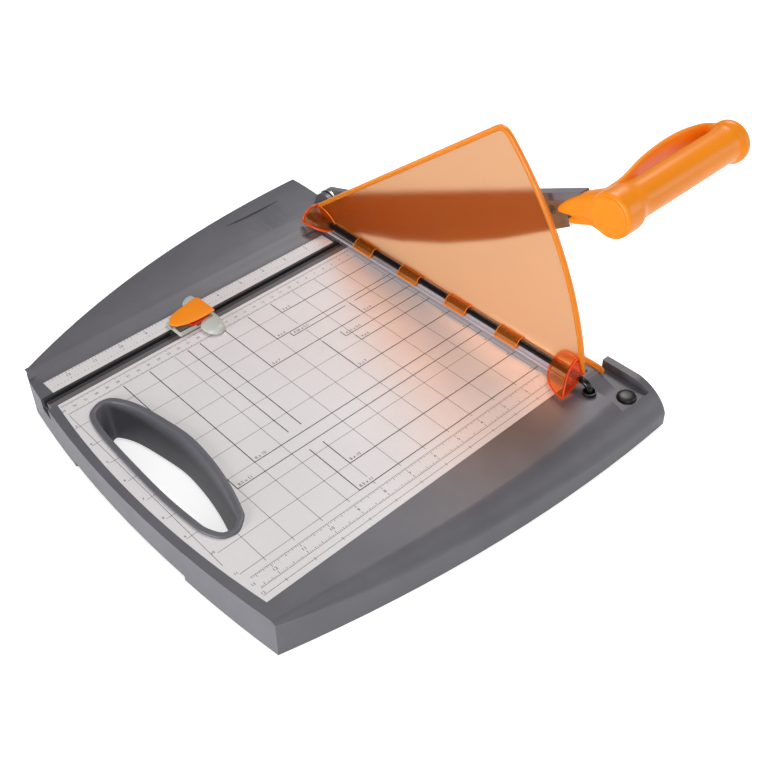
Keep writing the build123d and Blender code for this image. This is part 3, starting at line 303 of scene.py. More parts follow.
# Hand slot: rim outline on the mat, and the rim's profile (inset, height)
SLOT_OUTLINE = (
    (-316.7, -245.1), (-322.2, -234.5), (-324.4, -222.6), (-326.5, -186.8), (-326.0, -145.0), (-323.8, -97.7),
    (-319.1, -73.9), (-311.8, -66.3), (-301.8, -63.8), (-292.3, -69.3), (-282.9, -88.5), (-276.5, -120.3),
    (-273.3, -149.2), (-275.7, -180.8), (-281.3, -209.8), (-289.1, -235.1), (-292.6, -241.6),
    (-302.2, -249.0), (-310.2, -248.9),
)
RIM_PROFILE = (
    (0.0, -2.0), (0.0, 1.0), (0.25, 1.7), (0.8, 2.15), (1.6, 2.2), (3.8, 2.2), (4.4, 2.05), (4.9, 1.5),
    (5.2, 0.5), (5.6, -2.0), (8.5, -18.0), (11.0, -33.0), (9.5, -33.0), (7.0, -18.0), (4.2, -4.0),
)

# Solids whose moulded edges are rounded off, with the width of the round, and those of them whose flat sides
# are first merged into one face each
SOFT_EDGES = (
    ("base_shell", 0.6), ("back_band", 0.9), ("arm_beam", 0.8), ("arm_hub", 0.8), ("pivot_bracket", 0.5),
)
PLAIN_SIDED = ("arm_beam", "arm_hub", "pivot_bracket")

# Steel fittings that are blackened
PIVOT_FITTINGS = ("pivot_bolt", "pivot_nut", "pivot_washers")

# Print on the mat, in inches from the cut line (u) and the fence (v): pale upright lines with their runs
GRID_DOWN = (
    (1, ((2.32, 11.12),)), (2, ((2.32, 11.12),)), (3, ((2.32, 11.12),)), (4, ((2.32, 11.12),)),
    (5, ((3.0, 3.86), (4.3, 11.12))), (6, ((4.0, 11.12),)), (7, ((5.0, 11.12),)),
    (8, ((10.0, 10.75), (11.0, 11.12))), (9, ((2.32, 11.12),)), (10, ((8.0, 11.12),)), (11, ((8.5, 11.12),)),
    (12, ((9.86, 11.12),)), (12.96, ((2.35, 10.45),)),
)

# Ends of the level lines (right, left, left above the tenth), of the last one, and of its marks
GRID_ENDS = (0.83, 12.8, 13.13)
LAST_ROW = (1.35, 12.76)
LAST_MARKS = (11.94, 12.06)

# Paper sizes with their corner and the runs of both legs
SIZE_MARKS = (
    ("3 x 5", 5, 3, ((2.35, 3),), ((0.83, 5),)),
    ("4 x 6", 6, 4, ((2.35, 4),), ((0.83, 6),)),
    ("4.25 x 5.5", 5.5, 4.25, ((4.04, 4.25),), ((0.83, 2.78), (3.19, 5.5))),
    ("3 x 5", 3, 5, ((4.24, 5),), ((0.83, 3),)),
    ("5 x 7", 7, 5, ((2.35, 5),), ((3.19, 7),)),
    ("4.25 x 5.5", 4.25, 5.5, ((5.19, 5.5),), ((0.83, 4.25),)),
    ("4 x 6", 4, 6, ((5.7, 6),), ((0.83, 4),)),
    ("5 x 7", 5, 7, ((5.15, 7),), ((0.83, 5),)),
    ("8 x 10", 10, 8, ((2.35, 8),), ((0.83, 10),)),
    ("8.5 x 11", 11, 8.5, ((2.35, 8.5),), ((0.83, 11),)),
    ("8 x 10", 8, 10, ((2.35, 7.72), (8.75, 10)), ((0.83, 8),)),
    ("8.5 x 11", 8.5, 11, ((2.35, 7.72), (8.72, 11)), ((0.83, 8.5),)),
)

# Row numbers at the mat's left edge, in millimetres
ROW_NUMBERS = (
    (3, -331.6, -74.4), (4, -333.4, -99.6), (5, -334.3, -124.8), (6, -335.0, -150.2), (7, -335.1, -175.6),
    (8, -334.8, -201.0), (9, -333.2, -226.4), (10, -327.6, -251.6), (11, -326.6, -277.2),
    (12, -323.0, -302.8), (13, -323.6, -292.8),
)

# The print's level, its line widths, and the heights of its letters
PRINT_LEVEL = 0.03
PALE_LINE = 0.4
DARK_LINE = 0.75
SMALL_TYPE = 2.8
TYPE = 3.3
SIZE_TYPE = 4.0
RULER_TYPE = 4.2

# Scales: back line, front line, width of the marks, and line of the numbers
METRIC_SCALE = (-46.0, -58.2, 0.3, -52.2)
INCH_SCALE = (-286.6, -299.0, 0.36, -292.8)
RULER_SCALE = (-10.4, -21.6, 0.34, -15.8)

# Fine rules under the marks: ends along x, and half width
METRIC_RULE = (-329.0, -24.0)
INCH_RULE = (-322.0, -30.0)
RULE_HALF = 0.1

# Shift of a size's word from its corner, and the numbers at the mat's right (x, lift)
WORD_SHIFT = (2.6, 2.9)
RIGHT_NUMBERS = (-27.6, 2.4)

# Grain: how much wider its broad noise is than the fine one
BROAD = 40


def linear(code):
    """An sRGB hex colour as linear red, green, blue and alpha."""
    channels = np.array([int(code[i:i + 2], 16) for i in (1, 3, 5)]) / 255
    low = channels / 12.92
    high = ((channels + 0.055) / 1.055) ** 2.4
    return (*np.where(channels <= 0.04045, low, high), 1.0)


def add(tree, kind, links=None, **settings):
    """Adds a node, sets its attributes, and fills its inputs with values or with other sockets."""
    node = tree.nodes.new("ShaderNode" + kind)
    for name, value in settings.items():
        setattr(node, name, value)
    for key, value in (links or {}).items():
        if isinstance(value, bpy.types.NodeSocket):
            tree.links.new(value, node.inputs[key])
        else:
            node.inputs[key].default_value = value
    return node


def material(name, **values):
    """A material with one principled shader, its sockets set by name."""
    made = bpy.data.materials.new(name)
    made.use_nodes = True
    shader = made.node_tree.nodes["Principled BSDF"]
    for key, value in values.items():
        shader.inputs[key.replace("_", " ").title().replace("Ior", "IOR")].default_value = value
    return made, made.node_tree, shader


def tone_and_lift(tree, shader, tone, lift, tones, spread, depth_mm, strength):
    """Shifts the colour between a pale and a dark tone by one field, and lifts the surface by another."""
    ramp = add(tree, "ValToRGB", {"Fac": tone})
    for element, place, code in zip(ramp.color_ramp.elements, spread, tones[::-1]):
        element.position = place
        element.color = linear(code)
    tree.links.new(ramp.outputs["Color"], shader.inputs["Base Color"])
    bump = add(tree, "Bump", {"Height": lift, "Distance": depth_mm * MM, "Strength": strength})
    tree.links.new(bump.outputs["Normal"], shader.inputs["Normal"])


def grain(tree, shader, weave, tones):
    """Moulded grain: a fine noise lifts the surface a little and, with a broad one, shifts the colour.

    The weave is the grain's size and depth in millimetres and its strength."""
    size, depth, strength = weave
    place = add(tree, "TexCoord").outputs["Object"]
    fine = add(tree, "TexNoise", {"Vector": place, "Scale": 1 / (size * MM), "Detail": 3.0}).outputs["Fac"]
    broad = add(tree, "TexNoise", {"Vector": place, "Scale": 1 / (size * MM * BROAD), "Detail": 2.0})
    both = add(tree, "Math", {0: fine, 1: broad.outputs["Fac"]}, operation="ADD")
    half = add(tree, "Math", {0: both.outputs[0], 1: 0.5}, operation="MULTIPLY")
    tone_and_lift(tree, shader, half.outputs[0], fine, tones, (0.35, 0.65), depth, strength)


def grained(name, weave, tones, **values):
    """A material of one shader with a moulded grain in a pale and a dark tone."""
    made, tree, shader = material(name, **values)
    grain(tree, shader, weave, tones)
    return made


def print_ink(name, fresh, worn):
    """Screen-printed ink: matt, almost the same level as the sheet."""
    return grained(name, (0.5, 0.004, 0.1), (fresh, worn), roughness=0.6, ior=1.5)


def ground_blade_steel():
    """Surface-ground blade steel: bright, with fine grinding lines across the blade."""
    made, tree, shader = material("ground_blade_steel", metallic=1.0, roughness=0.32)
    place = add(tree, "TexCoord").outputs["Object"]
    lay = add(tree, "Mapping", {"Vector": place, "Scale": (1, 0.06, 1)}).outputs[0]
    lines = add(tree, "TexNoise", {"Vector": lay, "Scale": 1 / (0.5 * MM), "Detail": 4.0}).outputs["Fac"]
    tone_and_lift(tree, shader, lines, lines, ("#CFCCCA", "#A9A6A4"), (0.0, 1.0), 0.01, 0.3)
    return made


def hazy_acrylic(name, tint, haze, share, roughness, frost=0.0, shade=None):
    """Acrylic dyed in the mass: part of the light goes through and takes the dye, the rest is scattered back
    by a haze in the sheet. Frost blurs what is seen through it, and shade is the colour that it lends its
    shadow. The share, the tint and the shade are those of one face; a wall has two."""
    made, tree, shader = material(name, roughness=roughness, ior=1.49)
    grain(tree, shader, (1.5, 0.01, 0.1), haze)
    if frost:
        clear = add(tree, "BsdfRefraction", {"Color": linear(tint), "Roughness": frost, "IOR": 1.2})
    else:
        clear = add(tree, "BsdfTransparent", {"Color": linear(tint)})
    mix = add(tree, "MixShader", {0: share, 1: clear.outputs[0], 2: shader.outputs[0]})
    if shade:
        shadow = add(tree, "LightPath").outputs["Is Shadow Ray"]
        glow = add(tree, "BsdfTransparent", {"Color": linear(shade)})
        mix = add(tree, "MixShader", {0: shadow, 1: mix.outputs[0], 2: glow.outputs[0]})
    tree.links.new(mix.outputs[0], tree.nodes["Material Output"].inputs["Surface"])
    return made


# Finishes by material slot, and those of pieces that look unlike their slot's solids
FINISH = {
    # Spark-textured ABS moulding: satin dark grey with a fine grain that breaks up its highlights
    "base_grey": grained(
        "moulded_abs_grey", (0.7, 0.05, 0.35), ("#616067", "#57565C"), roughness=0.5, ior=1.53),
    # Pale polypropylene sheet under the print: smooth, faintly mottled, a soft sheen
    "mat_pale": grained(
        "printed_mat_sheet", (1.2, 0.01, 0.15), ("#DFDBDC", "#D9D5D6"), roughness=0.5, ior=1.49),
    # Extruded black rail: satin, with a faint grain
    "rail_black": grained(
        "satin_black_rail", (0.9, 0.03, 0.25), ("#353336", "#2B292C"), roughness=0.6, ior=1.5),
    # Soft grey cutting strip: matt, scuffed by the wheel
    "strip_grey": grained(
        "grey_cutting_strip", (0.8, 0.03, 0.3), ("#6A6668", "#5D595B"), roughness=0.6, ior=1.5),
    "blade_steel": ground_blade_steel(),
    # Powder-coated steel bracket: dark grey with a slight orange-peel
    "bracket_steel": grained(
        "painted_bracket_steel", (0.9, 0.04, 0.3), ("#5B5960", "#504E55"), roughness=0.4, ior=1.5),
    # Zinc-plated screws: bright metal with a slightly uneven plating
    "screw_steel": grained(
        "plated_screw_steel", (0.8, 0.01, 0.2), ("#8C8B8C", "#767576"), metallic=1.0, roughness=0.45),
    # Chemically blackened pivot bolt, nut and washers: dark metal with a dull, oily sheen
    "pivot_steel": grained(
        "blackened_pivot_steel", (0.8, 0.01, 0.2), ("#4A494C", "#3E3D40"), metallic=1.0, roughness=0.5),
    # Moulded rubber: near black, dull, with a bloom of paler dust
    "black_rubber": grained(
        "black_rubber", (0.8, 0.03, 0.3), ("#171617", "#100F10"), roughness=0.42, ior=1.52),
    # Drawn spring wire: grey steel with a thin oil film
    "spring_steel": grained(
        "drawn_spring_wire", (0.5, 0.01, 0.2), ("#A8A8AA", "#8C8C8E"), metallic=1.0, roughness=0.35),
    # Moulded arm cover: the base's grey in a slightly smoother, bluer shade
    "arm_grey": grained(
        "moulded_arm_grey", (0.7, 0.04, 0.3), ("#716E77", "#65626B"), roughness=0.38, ior=1.53),
    # Turned brass bush: warm metal with fine tool marks
    "bush_brass": grained(
        "turned_brass", (0.5, 0.01, 0.2), ("#C2A765", "#A98E4C"), metallic=1.0, roughness=0.3),
    # Satin polypropylene handle: clean orange with a soft highlight and a faint moulded texture
    "handle_orange": grained(
        "satin_orange_plastic", (0.8, 0.02, 0.15), ("#FC9316", "#F78B12"), roughness=0.36, ior=1.49,
        specular_ior_level=0.3),
    # The guard's acrylic: a frosted sheet, and clearer walls whose edges gather the dye's colour. The edge
    # finishes paint that glow in: a denser, brighter orange and red-orange than the sheet's
    "guard_orange": hazy_acrylic(
        "frosted_orange_acrylic", "#E0D3BC", ("#F07828", "#E66C1E"), 0.18, 0.35, frost=0.46, shade="#FFC896"),
    "guard_edge": hazy_acrylic("orange_acrylic_edge", "#FFC478", ("#FFA636", "#FA9A2A"), 0.62, 0.22),
    "guard_ear": hazy_acrylic("orange_acrylic_ear", "#FEDEBE", ("#F2863A", "#E6782C"), 0.09, 0.2),
    "guard_glow": hazy_acrylic("red_orange_acrylic_painted_glow", "#FFA060", ("#F9703A", "#F2642E"), 0.62, 0.22),
    "guard_web": hazy_acrylic("red_orange_acrylic_web", "#FCAC80", ("#F56430", "#EE5828"), 0.27, 0.2),
    "guard_tab": hazy_acrylic("orange_acrylic_tab", "#FFE0B8", ("#FA9C3C", "#F28E2C"), 0.12, 0.2),
    # Gloss black enamel on steel rod: deep black with sharp highlights
    "rod_black": grained(
        "gloss_black_rod", (1.0, 0.01, 0.1), ("#121113", "#0C0B0D"), roughness=0.24, ior=1.38),
    # Clear acrylic strip, and pale bars along its bevels: a painted highlight where the polished bevels catch
    # light
    "strip_clear": hazy_acrylic("clear_acrylic", "#F9F7FA", ("#E2DEE4", "#DAD6DC"), 0.07, 0.08),
    "strip_painted_highlight": hazy_acrylic("clear_acrylic_painted_highlight", "#FFFFFF", ("#F4F2F6", "#EEECF0"), 0.6, 0.12),
    # Pale grey-green polyacetal: waxy, with a soft satin highlight
    "carriage_green": grained(
        "pale_carriage_plastic", (0.8, 0.02, 0.2), ("#BDC2BC", "#B2B7B1"), roughness=0.4, ior=1.48),
    # Grey window insert of the carriage: matt, a little uneven, with a dull sheen
    "carriage_pane": grained(
        "smoked_window_plastic", (0.8, 0.03, 0.3), ("#8C8B88", "#7C7B79"), roughness=0.45, ior=1.5),
    # Polystyrene blade holder: gloss red with sharp highlights
    "cartridge_red": grained(
        "red_cartridge_plastic", (0.8, 0.02, 0.15), ("#CF3A20", "#BF321B"), roughness=0.25, ior=1.55),
    "ink_dark": print_ink("dark_print_ink", "#201E1F", "#2B292A"),
    "ink_fine": print_ink("fine_print_ink", "#4C494B", "#575456"),
    "ink_pale": print_ink("pale_print_ink", "#5E5B5D", "#696668"),
}


def dress_nodes():
    """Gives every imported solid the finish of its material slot."""
    for node, slot in SLOT_OF.items():
        mesh = frame["nodes"][node].data
        mesh.materials.clear()
        mesh.materials.append(FINISH["pivot_steel" if node in PIVOT_FITTINGS else slot])


def metres(points):
    """Points in millimetres from cut line, fence and mat as places in the part's frame."""
    return np.asarray(points, float) * MM + HOME


def node_box(node):
    """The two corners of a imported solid's box, in millimetres from cut line, fence and mat."""
    return (np.array(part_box(node)) - HOME) / MM


def points_at(x, y, z):
    """Three coordinates, spread over one another, as points."""
    return np.stack(np.broadcast_arrays(x, y, z), axis=-1)


def on_arm(x, along, height):
    """Points of the raised arm: along it from the pivot, and at right angles to it."""
    y = PIVOT[0] - along * math.cos(ARM_RAISE) + height * math.sin(ARM_RAISE)
    z = PIVOT[1] + along * math.sin(ARM_RAISE) + height * math.cos(ARM_RAISE)
    return points_at(x, y, z)


def full_turn(count):
    """Angles once round, the last one a step short of the first."""
    return np.linspace(0, 2 * math.pi, count, endpoint=False)


def boxy(wave, power):
    """A sine or cosine pressed towards its crests, which makes a round section boxy."""
    return np.sign(wave) * np.abs(wave) ** power


def ease(share):
    """A share from 0 to 1 that starts and ends gently, as an S-shaped cubic."""
    return share * share * (3 - 2 * share)


def unit_rows(run):
    """Directions of length one."""
    return run / np.linalg.norm(run, axis=1, keepdims=True)


def face_outwards(mesh):
    """Turns a closed mesh's faces round where its volume, summed over triangles, comes out negative."""
    mesh.calc_loop_triangles()
    corners = np.empty(len(mesh.loop_triangles) * 3, int)
    mesh.loop_triangles.foreach_get("vertices", corners)
    places = np.empty(len(mesh.vertices) * 3)
    mesh.vertices.foreach_get("co", places)
    a, b, c = places.reshape(-1, 3)[corners.reshape(-1, 3)].transpose(1, 0, 2)
    if np.sum(a * np.cross(b, c)) < 0:
        mesh.flip_normals()


def piece(name, points, faces, finish, body, slot=None, crease=None):
    """One mesh object at the origin, riding on a body, in the finish given; the slot argument is not used. A
    closed piece has smooth faces with creases sharper than an angle in degrees; flat print has none."""
    slot = slot or finish
    mesh = bpy.data.meshes.new(name)
    mesh.from_pydata(metres(points).reshape(-1, 3).tolist(), [], faces)
    mesh.update()
    if crease:
        face_outwards(mesh)
        mesh.polygons.foreach_set("use_smooth", np.full(len(mesh.polygons), True))
        mesh.set_sharp_from_angle(angle=math.radians(crease))
    mesh.materials.append(FINISH[finish])
    made = bpy.data.objects.new(name, mesh)
    bpy.context.scene.collection.objects.link(made)
    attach(made, body)
    return made


def grid_faces(rows, columns, wrap_rows=False, wrap_columns=False, start=0):
    """Quads over a grid of points, closed on itself along rows or columns where asked."""
    r = np.arange(rows if wrap_rows else rows - 1)
    c = np.arange(columns if wrap_columns else columns - 1)
    r, c = np.meshgrid(r, c, indexing="ij")
    r2 = (r + 1) % rows
    c2 = (c + 1) % columns
    quads = np.stack((r * columns + c, r * columns + c2, r2 * columns + c2, r2 * columns + c), axis=-1)
    return (quads.reshape(-1, 4) + start).tolist()


def ring_faces(rings, start=0):
    """Quads over rings that close on themselves both ways, as a tyre does."""
    return grid_faces(*rings.shape[:2], wrap_rows=True, wrap_columns=True, start=start)


def tube_faces(rings, start=0):
    """Faces of a run of closed rings with one flat face at each end."""
    rows, columns = rings.shape[:2]
    faces = grid_faces(rows, columns, wrap_columns=True, start=start)
    first = list(range(start, start + columns))
    last = list(range(start + (rows - 1) * columns, start + rows * columns))
    return faces + [first[::-1], last]


def shell_faces(walls):
    """Faces of a wall between two grids of the same size, with a strip of quads along each border."""
    rows, columns = walls.shape[1:3]
    count = rows * columns
    outer = np.array(grid_faces(rows, columns))
    inner = outer[:, ::-1] + count
    index = np.arange(count).reshape(rows, columns)
    border = np.concatenate((index[0, :-1], index[:-1, -1], index[-1, :0:-1], index[:0:-1, 0]))
    following = np.roll(border, -1)
    strip = np.stack((following, border, border + count, following + count), axis=-1)
    return np.concatenate((outer, inner, strip)).tolist()


def join_rings(parts, faces_of=tube_faces):
    """Several runs of rings as one list of points and faces."""
    points, faces, count = [], [], 0
    for rings in parts:
        points.append(rings.reshape(-1, 3))
        faces += faces_of(rings, count)
        count += rings.shape[0] * rings.shape[1]
    return np.concatenate(points), faces


def bead_rings(path, radius, across, count=16):
    """Rings of a round bead carried along a path; across is a direction that the path never takes."""
    run = unit_rows(np.gradient(path, axis=0))
    side = unit_rows(np.cross(run, across))
    up = np.cross(side, run)
    turn = full_turn(count)[None, :, None]
    return path[:, None] + radius * (np.cos(turn) * side[:, None] + np.sin(turn) * up[:, None])


def beads(name, runs, finish, body, slot=None):
    """One piece made of closed runs of rings."""
    return piece(name, *join_rings(runs), finish, body, slot, 60)


def smooth_line(points, count, closed=False):
    """A curve through the points: each span is a cubic that leaves along the line between its neighbours."""
    p = np.asarray(points, float)
    n = len(p)
    spans = n if closed else n - 1
    t = np.linspace(0, spans, count, endpoint=not closed)
    i = np.minimum(t.astype(int), spans - 1)
    f = (t - i)[:, None]
    steps = [i + k for k in (-1, 0, 1, 2)]
    a, b, c, d = [p[k % n] if closed else p[np.clip(k, 0, n - 1)] for k in steps]
    return b + 0.5 * f * (c - a + f * (2 * a - 5 * b + 4 * c - d + f * (3 * (b - c) + d - a)))


def closed_outline(points, count):
    """A smooth closed line through the points, running anticlockwise as its area, summed round it, shows."""
    line = smooth_line(points, count, closed=True)
    x, y = line.T
    area = np.sum(x * np.roll(y, -1) - np.roll(x, -1) * y)
    return line if area > 0 else line[::-1]


def rounded_box(x0, x1, y0, y1, radius, count=64):
    """A rectangle with round corners as one closed line: each corner is a quarter circle."""
    turn = (np.arange(count) + 0.5) * 2 * math.pi / count
    right, back = np.cos(turn) > 0, np.sin(turn) > 0
    x = np.where(right, x1 - radius, x0 + radius) + radius * np.cos(turn)
    y = np.where(back, y1 - radius, y0 + radius) + radius * np.sin(turn)
    return np.stack((x, y), axis=-1)


def inward(line):
    """Unit normals of a closed anticlockwise outline in the plane, pointing to its inside."""
    run = unit_rows(np.roll(line, -1, axis=0) - np.roll(line, 1, axis=0))
    return np.stack((-run[:, 1], run[:, 0]), axis=-1)


def lifted(flat, heights):
    """Flat rings, each set at its own height."""
    z = np.broadcast_to(np.reshape(heights, (-1, 1, 1)), flat.shape[:2] + (1,))
    return np.concatenate((flat, z), axis=-1)


def rim_rings(line, profile):
    """Rings of a rim: the outline moved inwards and set at a height for each step of the profile."""
    inset, z = np.array(profile).T
    return lifted(line + inset[:, None, None] * inward(line), z)


def pad(name, outline, spine, levels, finish, body, slot=None):
    """A domed pad: rings run from a spine line out to the outline, and back under, each at its own height.

    A ring is the outline moved towards the nearest point of the spine by one minus its share.
    """
    (ax, ay), (bx, by) = spine
    run = np.array((bx - ax, by - ay))
    share = np.clip(((outline - (ax, ay)) @ run) / (run @ run), 0, 1)
    middle = np.array((ax, ay)) + share[:, None] * run
    out, z = np.array(levels).T
    rings = lifted(middle + out[:, None, None] * (outline - middle), z)
    return piece(name, rings, tube_faces(rings), finish, body, slot, 40)


def finished(made, *steps):
    """Applies modifiers, given as (kind, settings), and keeps the resulting mesh."""
    for kind, settings in steps:
        step = made.modifiers.new(kind.lower(), kind)
        for name, value in settings.items():
            setattr(step, name, value)
    bpy.context.view_layer.update()
    graph = bpy.context.evaluated_depsgraph_get()
    mesh = bpy.data.meshes.new_from_object(made.evaluated_get(graph))
    made.modifiers.clear()
    made.data = mesh
    mesh.name = made.name


def soften(node, width_mm):
    """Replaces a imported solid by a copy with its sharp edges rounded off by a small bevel."""
    source = frame["nodes"][node]
    mesh = source.data.copy()
    mesh.polygons.foreach_set("use_smooth", np.full(len(mesh.polygons), True))
    made = bpy.data.objects.new(node + "_soft", mesh)
    bpy.context.scene.collection.objects.link(made)
    steps = [("WELD", {"merge_threshold": 0.002 * MM})]
    if node in PLAIN_SIDED:
        steps.append(("DECIMATE", {"decimate_type": "DISSOLVE", "angle_limit": math.radians(1)}))
    steps.append(("BEVEL", {"width": width_mm * MM, "segments": 2, "limit_method": "ANGLE",
                            "angle_limit": math.radians(35), "use_clamp_overlap": True}))
    steps.append(("WEIGHTED_NORMAL", {"keep_sharp": False}))
    finished(made, *steps)
    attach(made, source["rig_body"])
    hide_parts(node)


def build_camera():
    """The photograph's camera: its place, the way it is turned, and its field of view."""
    right = Vector(CAMERA_RIGHT).normalized()
    back = right.cross(Vector(CAMERA_UP)).normalized()
    up = back.cross(right)
    turn = Matrix((right, up, back)).transposed().to_4x4()
    camera = bpy.data.objects.new("camera", bpy.data.cameras.new("camera"))
    camera.matrix_world = Matrix.Translation(metres(CAMERA_PLACE)) @ turn
    camera.data.angle = math.radians(CAMERA_FOV_DEG)
    bpy.context.scene.collection.objects.link(camera)
    bpy.context.scene.camera = camera


def area_lamp(name, place, aim, size, power):
    """A square lamp that shines from a place towards its aim."""
    lamp = bpy.data.lights.new(name, "AREA")
    lamp.size = size * MM
    lamp.energy = power
    made = bpy.data.objects.new(name, lamp)
    made.location = metres(place)
    way = Vector(metres(aim)) - made.location
    made.rotation_euler = way.to_track_quat("-Z", "Y").to_euler()
    bpy.context.scene.collection.objects.link(made)


def any_ray(tree, *kinds):
    """One where the ray is of any of these kinds, else zero."""
    path = add(tree, "LightPath")
    seen = path.outputs[kinds[0]]
    for kind in kinds[1:]:
        seen = add(tree, "Math", {0: seen, 1: path.outputs[kind]}, operation="MAXIMUM").outputs[0]
    return seen


def build_stage():
    """A pale floor that reads white to the camera and keeps the trimmer's shadow, and soft studio light."""
    corners = [(-1, -1), (1, -1), (1, 1), (-1, 1)]
    places = [(FLOOR_HALF * x, FLOOR_HALF * y, -DECK_Z / MM) for x, y in corners]
    mesh = bpy.data.meshes.new("floor")
    mesh.from_pydata(metres(places).tolist(), [], [(0, 1, 2, 3)])
    floor = bpy.data.objects.new("floor", mesh)
    bpy.context.scene.collection.objects.link(floor)
    made, tree, shader = material("studio_floor", base_color=linear("#F4F4F4"), roughness=0.9)
    seen = any_ray(tree, "Is Camera Ray", "Is Glossy Ray", "Is Transmission Ray")
    strength = add(tree, "Math", {0: seen, 1: FLOOR_GLOW}, operation="MULTIPLY")
    glow = add(tree, "Emission", {"Strength": strength.outputs[0]})
    both = add(tree, "AddShader", {0: shader.outputs[0], 1: glow.outputs[0]})
    tree.links.new(both.outputs[0], tree.nodes["Material Output"].inputs["Surface"])
    mesh.materials.append(made)
    world = bpy.data.worlds.new("studio")
    bpy.context.scene.world = world
    world.use_nodes = True
    tree = world.node_tree
    seen = any_ray(tree, "Is Camera Ray", "Is Transmission Ray")
    strength = add(tree, "MapRange", {0: seen, 3: WORLD_LIGHT, 4: 1.0})
    tree.links.new(strength.outputs[0], tree.nodes["Background"].inputs["Strength"])
    tree.nodes["Background"].inputs["Color"].default_value = linear("#FFFFFF")
    for lamp in LAMPS:
        area_lamp(*lamp)
    bpy.context.scene.view_settings.view_transform = "Standard"


def grip_rings():
    """Rings round the grip's axis: the radius follows a profile along x of knob, slim grip and end flange."""
    profile = np.array(GRIP_PROFILE)
    steps = np.linspace(0, len(profile) - 1, 150)
    x, r = [np.interp(steps, np.arange(len(profile)), column)[:, None] for column in profile.T]
    turn = full_turn(72)
    return on_arm(x, GRIP_ALONG + r * np.cos(turn), GRIP_HEIGHT + r * np.sin(turn))


def loop_rings():
    """A flat rounded strap carried along a bowed path beside the grip, narrower towards the flange."""
    path = smooth_line(LOOP_PATH, 90)
    run = unit_rows(np.gradient(path, axis=0))
    turn = full_turn(48)
    thick = LOOP_HALF[0] * boxy(np.cos(turn), 0.55)
    start, end, loss = LOOP_TAPER
    half = LOOP_HALF[1] * (1 - loss * np.clip((path[:, :1] - start) / (end - start), 0, 1) ** 2)
    wide = half * boxy(np.sin(turn), 0.45)
    x = path[:, :1] - run[:, 1:] * thick
    out = path[:, 1:] + run[:, :1] * thick
    along = GRIP_ALONG - out * math.cos(LOOP_TILT) + wide * math.sin(LOOP_TILT)
    height = GRIP_HEIGHT + out * math.sin(LOOP_TILT) + wide * math.cos(LOOP_TILT)
    return on_arm(x, along, height)


def nose_rings(sections):
    """Boxy oval sections along the arm, each given by its top, bottom, left and right."""
    turn = full_turn(64)
    along, top, low, left, right = smooth_line(sections, 48).T[:, :, None]
    x = (left + right) / 2 + (right - left) / 2 * boxy(np.cos(turn), 0.6)
    height = (top + low) / 2 + (top - low) / 2 * boxy(np.sin(turn), 0.6)
    return on_arm(x, along, height)


def build_handle():
    """Knob, grip, flange, nose and strap melted together, as one moulding with soft inside corners."""
    parts = (grip_rings(), loop_rings(), nose_rings(NOSE_SECTIONS), nose_rings(LIP_SECTIONS))
    made = piece("handle_moulding", *join_rings(parts), "handle_orange", "arm", crease=180)
    facing = {"mode": "VOXEL", "voxel_size": 0.8 * MM, "use_smooth_shade": True}
    finished(made, ("REMESH", facing), ("SMOOTH", {"factor": 0.5, "iterations": 7}))
    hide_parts("handle_body")


def build_press_lever():
    """The orange thumb lever: a thin shield-shaped pad with a flat top, a crisp edge and an undercut."""
    outline = closed_outline(LEVER_OUTLINE, 120)
    made = pad("press_lever_pad", outline, LEVER_SPINE, LEVER_LEVELS, "handle_orange", "cutter")
    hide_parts("press_lever")


def build_box_pads():
    """The press lever's stem, the window's pane and the black pad under it, which is painted shade along the
    pane's front edge, the pocket's sill, and the rail's front lip, which laps a little over the cutting
    strip:
    pads on rounded boxes."""
    for name, node, box, radius, spine, levels, *style in BOX_PADS:
        made = pad(name, rounded_box(*box, radius), spine, levels, *style)
        if node:
            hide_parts(node)


def build_carriage():
    """The sliding body: a thin plate with an opening, a raised window frame, and two domed wings."""
    plate = rounded_box(*PLATE_BOX)
    shrunk = plate + PLATE_CHAMFER * inward(plate)
    gap = rounded_box(*PLATE_GAP)
    rings = lifted(np.array((plate, shrunk, gap, gap, shrunk, plate)), PLATE_LEVELS)
    style = ("carriage_green", "carriage")
    made = piece("carriage_plate", rings, ring_faces(rings), *style, crease=40)
    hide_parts("carriage_body")
    rings = rim_rings(rounded_box(*WINDOW_BOX), WINDOW_PROFILE)
    piece("carriage_window_frame", rings, ring_faces(rings), *style, crease=40)
    for name, points, spine, top, foot in WINGS:
        levels = [(share, top - fall) for share, fall in WING_FALL]
        levels += [(share, foot + rise) for share, rise in WING_RISE]
        pad(name, closed_outline(points, 96), spine, levels, *style)


def guard_edge():
    """The guard's edge from its back foot up the straight top, round the peak and down the bowed front.

    The bow is the circle through the peak and two lower places; the peak is rounded by a parabola."""
    back, peak, middle, front = np.array((GUARD_BACK, GUARD_PEAK, GUARD_BOW, GUARD_FRONT))
    rows = np.array((2 * (middle - peak), 2 * (front - peak)))
    centre = np.linalg.solve(rows, np.array((middle @ middle - peak @ peak, front @ front - peak @ peak)))
    ends = np.unwrap([math.atan2(*(p - centre)[::-1]) for p in (peak, middle, front)])
    turn = np.linspace(ends[0], ends[2], 90)
    bow = centre + np.linalg.norm(peak - centre) * np.stack((np.cos(turn), np.sin(turn)), axis=-1)
    top = back + np.linspace(0, 1, 80)[:, None] * (peak - back)
    into = top[np.linalg.norm(top - peak, axis=1) > PEAK_CUT]
    off = bow[np.linalg.norm(bow - peak, axis=1) > PEAK_CUT]
    t = np.linspace(0, 1, 16)[1:-1, None]
    round_off = (1 - t) ** 2 * into[-1] + 2 * t * (1 - t) * peak + t ** 2 * off[0]
    return np.concatenate((into, round_off, off))


